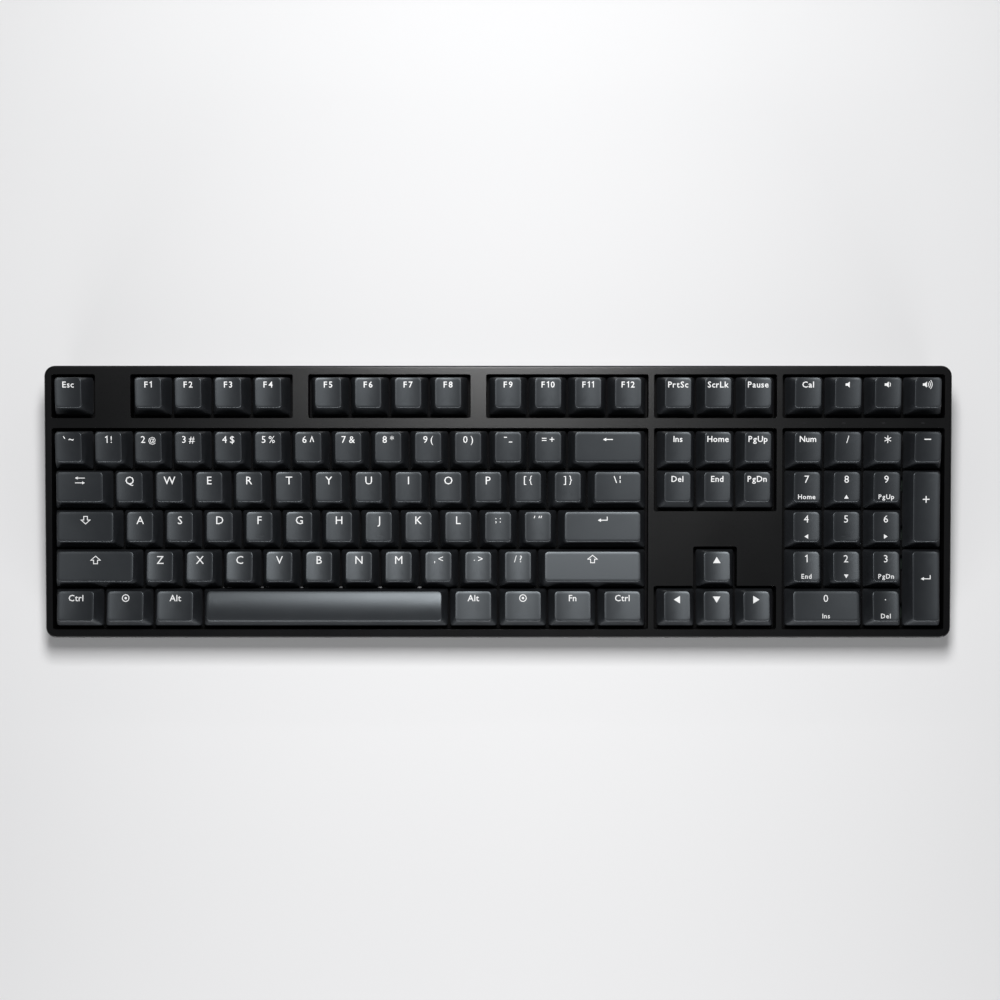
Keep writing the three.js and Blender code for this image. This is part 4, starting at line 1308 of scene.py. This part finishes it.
# %% [markdown]
# ## Underneath
# The board stands on two long rubber strips with cross ribs, which grip the desk better than a flat
# face. Nine pan-head screws close the case from below, each in its own well, and the folding feet have
# rubber tips for when they are open.

# %% Ribbed rubber strips
RIB_PITCH, RIB_DEEP = 2.4, 0.5


def rubber_strip(node, name):
    low, high = (Vector(corner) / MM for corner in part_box(node))
    half = (high - low) / 2
    centre = Matrix.Translation(((low.x + high.x) / 2, (low.y + high.y) / 2, 0))
    body = soft_block(half.x, half.y, half.y - 0.1, low.z + RIB_DEEP, high.z, 0.3)
    rib = lofted([
        rectangle_ring(0.45, half.y - 0.8, low.z), rectangle_ring(0.75, half.y - 0.5, low.z + 0.25),
        rectangle_ring(0.75, half.y - 0.5, low.z + RIB_DEEP + 0.2),
    ])
    count = int(2 * (half.x - half.y) / RIB_PITCH)
    places = [((i - (count - 1) / 2) * RIB_PITCH, 0, 0) for i in range(count)]
    mesh = joined([body, repeat(rib, places, RUBBER)])
    mesh.transform(centre)
    finish_piece(name, smooth(clad(mesh, RUBBER)), "case", [node], ROOT)
    return count


print("ribs:", rubber_strip("front_rubber_strip", "ribbed_strip_front"),
      rubber_strip("rear_rubber_strip", "ribbed_strip_rear"))

# %% Case screws
SCREW_SPOTS = [  # key units from the left, row
    (1.25, 0.5), (6.25, 0.5), (10.75, 0.5), (15.125, 0.5), (18.375, 0.5), (15.125, 4), (18.375, 4),
    (2.5, 4.5), (11.25, 4.5),
]
HEAD_RADIUS, HEAD_THICK, SHANK_RADIUS, SHANK_LENGTH = 2.7, 0.75, 0.85, 4.0
base_bottom = min(v.co.z for v in nodes["bottom_case"].data.vertices) / MM
WELL_DEPTH = 1.1


def row_place(row):
    """Depth of a place between the rows; halfway means midway between two rows."""
    return (row_y[math.floor(row)] + row_y[math.ceil(row)]) / 2


def screw_mesh():
    """A pan head that faces down, with a cross recess, on a plain shank."""
    seat = WELL_DEPTH - 0.05
    face = seat - HEAD_THICK
    return lofted([
        round_ring(SHANK_RADIUS * 0.6, seat + SHANK_LENGTH), round_ring(SHANK_RADIUS, seat + 3.6),
        round_ring(SHANK_RADIUS, seat), round_ring(HEAD_RADIUS, seat),
        round_ring(HEAD_RADIUS, seat - 0.35), round_ring(HEAD_RADIUS * 0.88, face + 0.08),
        round_ring(HEAD_RADIUS * 0.7, face), cross_ring(1.45, 0.32, face),
        cross_ring(0.7, 0.2, face + 0.65),
    ])


places = []
for units, row in SCREW_SPOTS:
    on_deck = Vector((FIELD_LEFT + units * UNIT, row_place(row), 0))
    depth = (base_bottom * MM - (DECK @ on_deck).z) / (DECK.to_3x3() @ Vector((0, 0, 1))).z
    spot = DECK @ (on_deck + Vector((0, 0, depth)))
    places.append(spot / MM)
screws = repeat(screw_mesh(), places, SCREW_STEEL)
finish_piece("case_screws", smooth(screws), "case", matrix=ROOT)
print(len(places), "screws, heads", round(2 * HEAD_RADIUS, 1), "mm across")

# %% Rubber tips of the feet
TIP_DEEP, TIP_PROUD, TIP_INSET = 4.0, 0.25, 2.4
LEG_THICK = 3.0


def foot_tip(node, name):
    low, high = (Vector(corner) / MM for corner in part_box(node))
    half_x = (high.x - low.x) / 2 - TIP_INSET
    reach = LEG_THICK / 2 + TIP_PROUD
    tip = soft_block(half_x, TIP_DEEP / 2, 0.8, -reach, reach, 0.4)
    tip.transform(Matrix.Translation(
        ((low.x + high.x) / 2, low.y + TIP_DEEP / 2 - TIP_PROUD, (low.z + high.z) / 2)))
    finish_piece(name, smooth(clad(tip, RUBBER)), node, matrix=ROOT)


foot_tip("left_foot", "left_tip")
foot_tip("right_foot", "right_tip")
print("tips on both feet")

# %% [markdown]
# Four indicator windows sit in the bar above the number pad. They are smoked plastic, nearly as dark as
# the case when unlit, so they only show as slightly glossier ovals.

# %% Indicator windows
case_top = deck_box("top_case")[1].z
WINDOW_PROUD = 0.05
window = soft_block(0.9, 0.4, 0.35, -0.4, WINDOW_PROUD, WINDOW_PROUD)
window_y = (row_y[0] + row_y[1]) / 2
pad_columns = [key["x"] for key in keys if key["body"] == "media_keys"]
windows = repeat(window, [(x, window_y, case_top) for x in pad_columns], WINDOW)
finish_piece("indicator_windows", smooth(windows), "case")
print(len(pad_columns), "windows")

# %% [markdown]
# ## Scene
# A pale floor, one compact soft light high above and behind the board, a low card in front and a faint
# fill from the room. The dark caps then show their dishes as slow gradients and their rims as thin lines.

# %% Floor
def floor_material():
    material, tree, shader = bare_material("pale_floor")
    texture = use(tree, GRAIN, grain_size=1.2, drift_size=300.0)
    colour = mix_colours(tree, texture.outputs["Tone"], (0.80, 0.80, 0.81), (0.83, 0.83, 0.835))
    tree.links.new(colour, shader.inputs["Base Color"])
    shader.inputs["Roughness"].default_value = 0.7
    shader.inputs["Specular IOR Level"].default_value = 0.2
    return material


FLOOR_SIZE, FLOOR_DROP = 8, 0.0002  # metres; the drop keeps the strips' ribs from sinking in
bpy.ops.mesh.primitive_plane_add(size=FLOOR_SIZE, location=(0, 0, -FLOOR_DROP))
floor = bpy.context.object
floor.name = "floor"
floor.data.materials.append(floor_material())
print("floor", [round(d, 1) for d in floor.dimensions])

# %% Lights
def softbox(name, place, aim, width, depth, power):
    light = bpy.data.lights.new(name, "AREA")
    light.shape, light.size, light.size_y, light.energy = "RECTANGLE", width, depth, power
    lamp = bpy.data.objects.new(name, light)
    bpy.context.scene.collection.objects.link(lamp)
    lamp.location = place
    lamp.rotation_euler = (Vector(aim) - Vector(place)).to_track_quat("-Z", "Y").to_euler()
    return lamp


lamps = [
    softbox("overhead_softbox", (0.0, 0.235, 0.66), (0, 0, 0), 0.16, 0.28, 4.8),
    softbox("rear_wash", (0.0, 0.42, 0.3), (0, 0.42, 0), 0.9, 0.05, 0.3),
    softbox("front_card", (0.0, -0.9, 0.16), (0, 0, 0.03), 1.4, 0.28, 13.0),
]
world = bpy.data.worlds.new("studio")
world.use_nodes = True
backdrop = world.node_tree.nodes["Background"]
seen = add(world.node_tree, "ShaderNodeLightPath").outputs["Is Camera Ray"]
backdrop.inputs["Color"].default_value = (0.95, 0.97, 1.0, 1)
world.node_tree.links.new((Field(seen) * 0.8 + 0.05).socket, backdrop.inputs["Strength"])
bpy.context.scene.world = world
bpy.context.scene.view_settings.view_transform = "Standard"
print([lamp.name for lamp in lamps])

# %% Camera
CAMERA_PLACE = (0.9, 18.7, 728.0)  # in the deck's frame
CAMERA_TIP = -0.0246  # radians, from straight down
camera = bpy.data.cameras.new("camera")
camera.lens, camera.sensor_width = 53.68, 36
camera_object = bpy.data.objects.new("camera", camera)
bpy.context.scene.collection.objects.link(camera_object)
camera_object.matrix_world = (
    DECK_PLACE @ Matrix.Translation(Vector(CAMERA_PLACE) * MM) @ Matrix.Rotation(CAMERA_TIP, 4, "X")
)
bpy.context.scene.camera = camera_object
print("camera at", [round(c, 3) for c in camera_object.location])
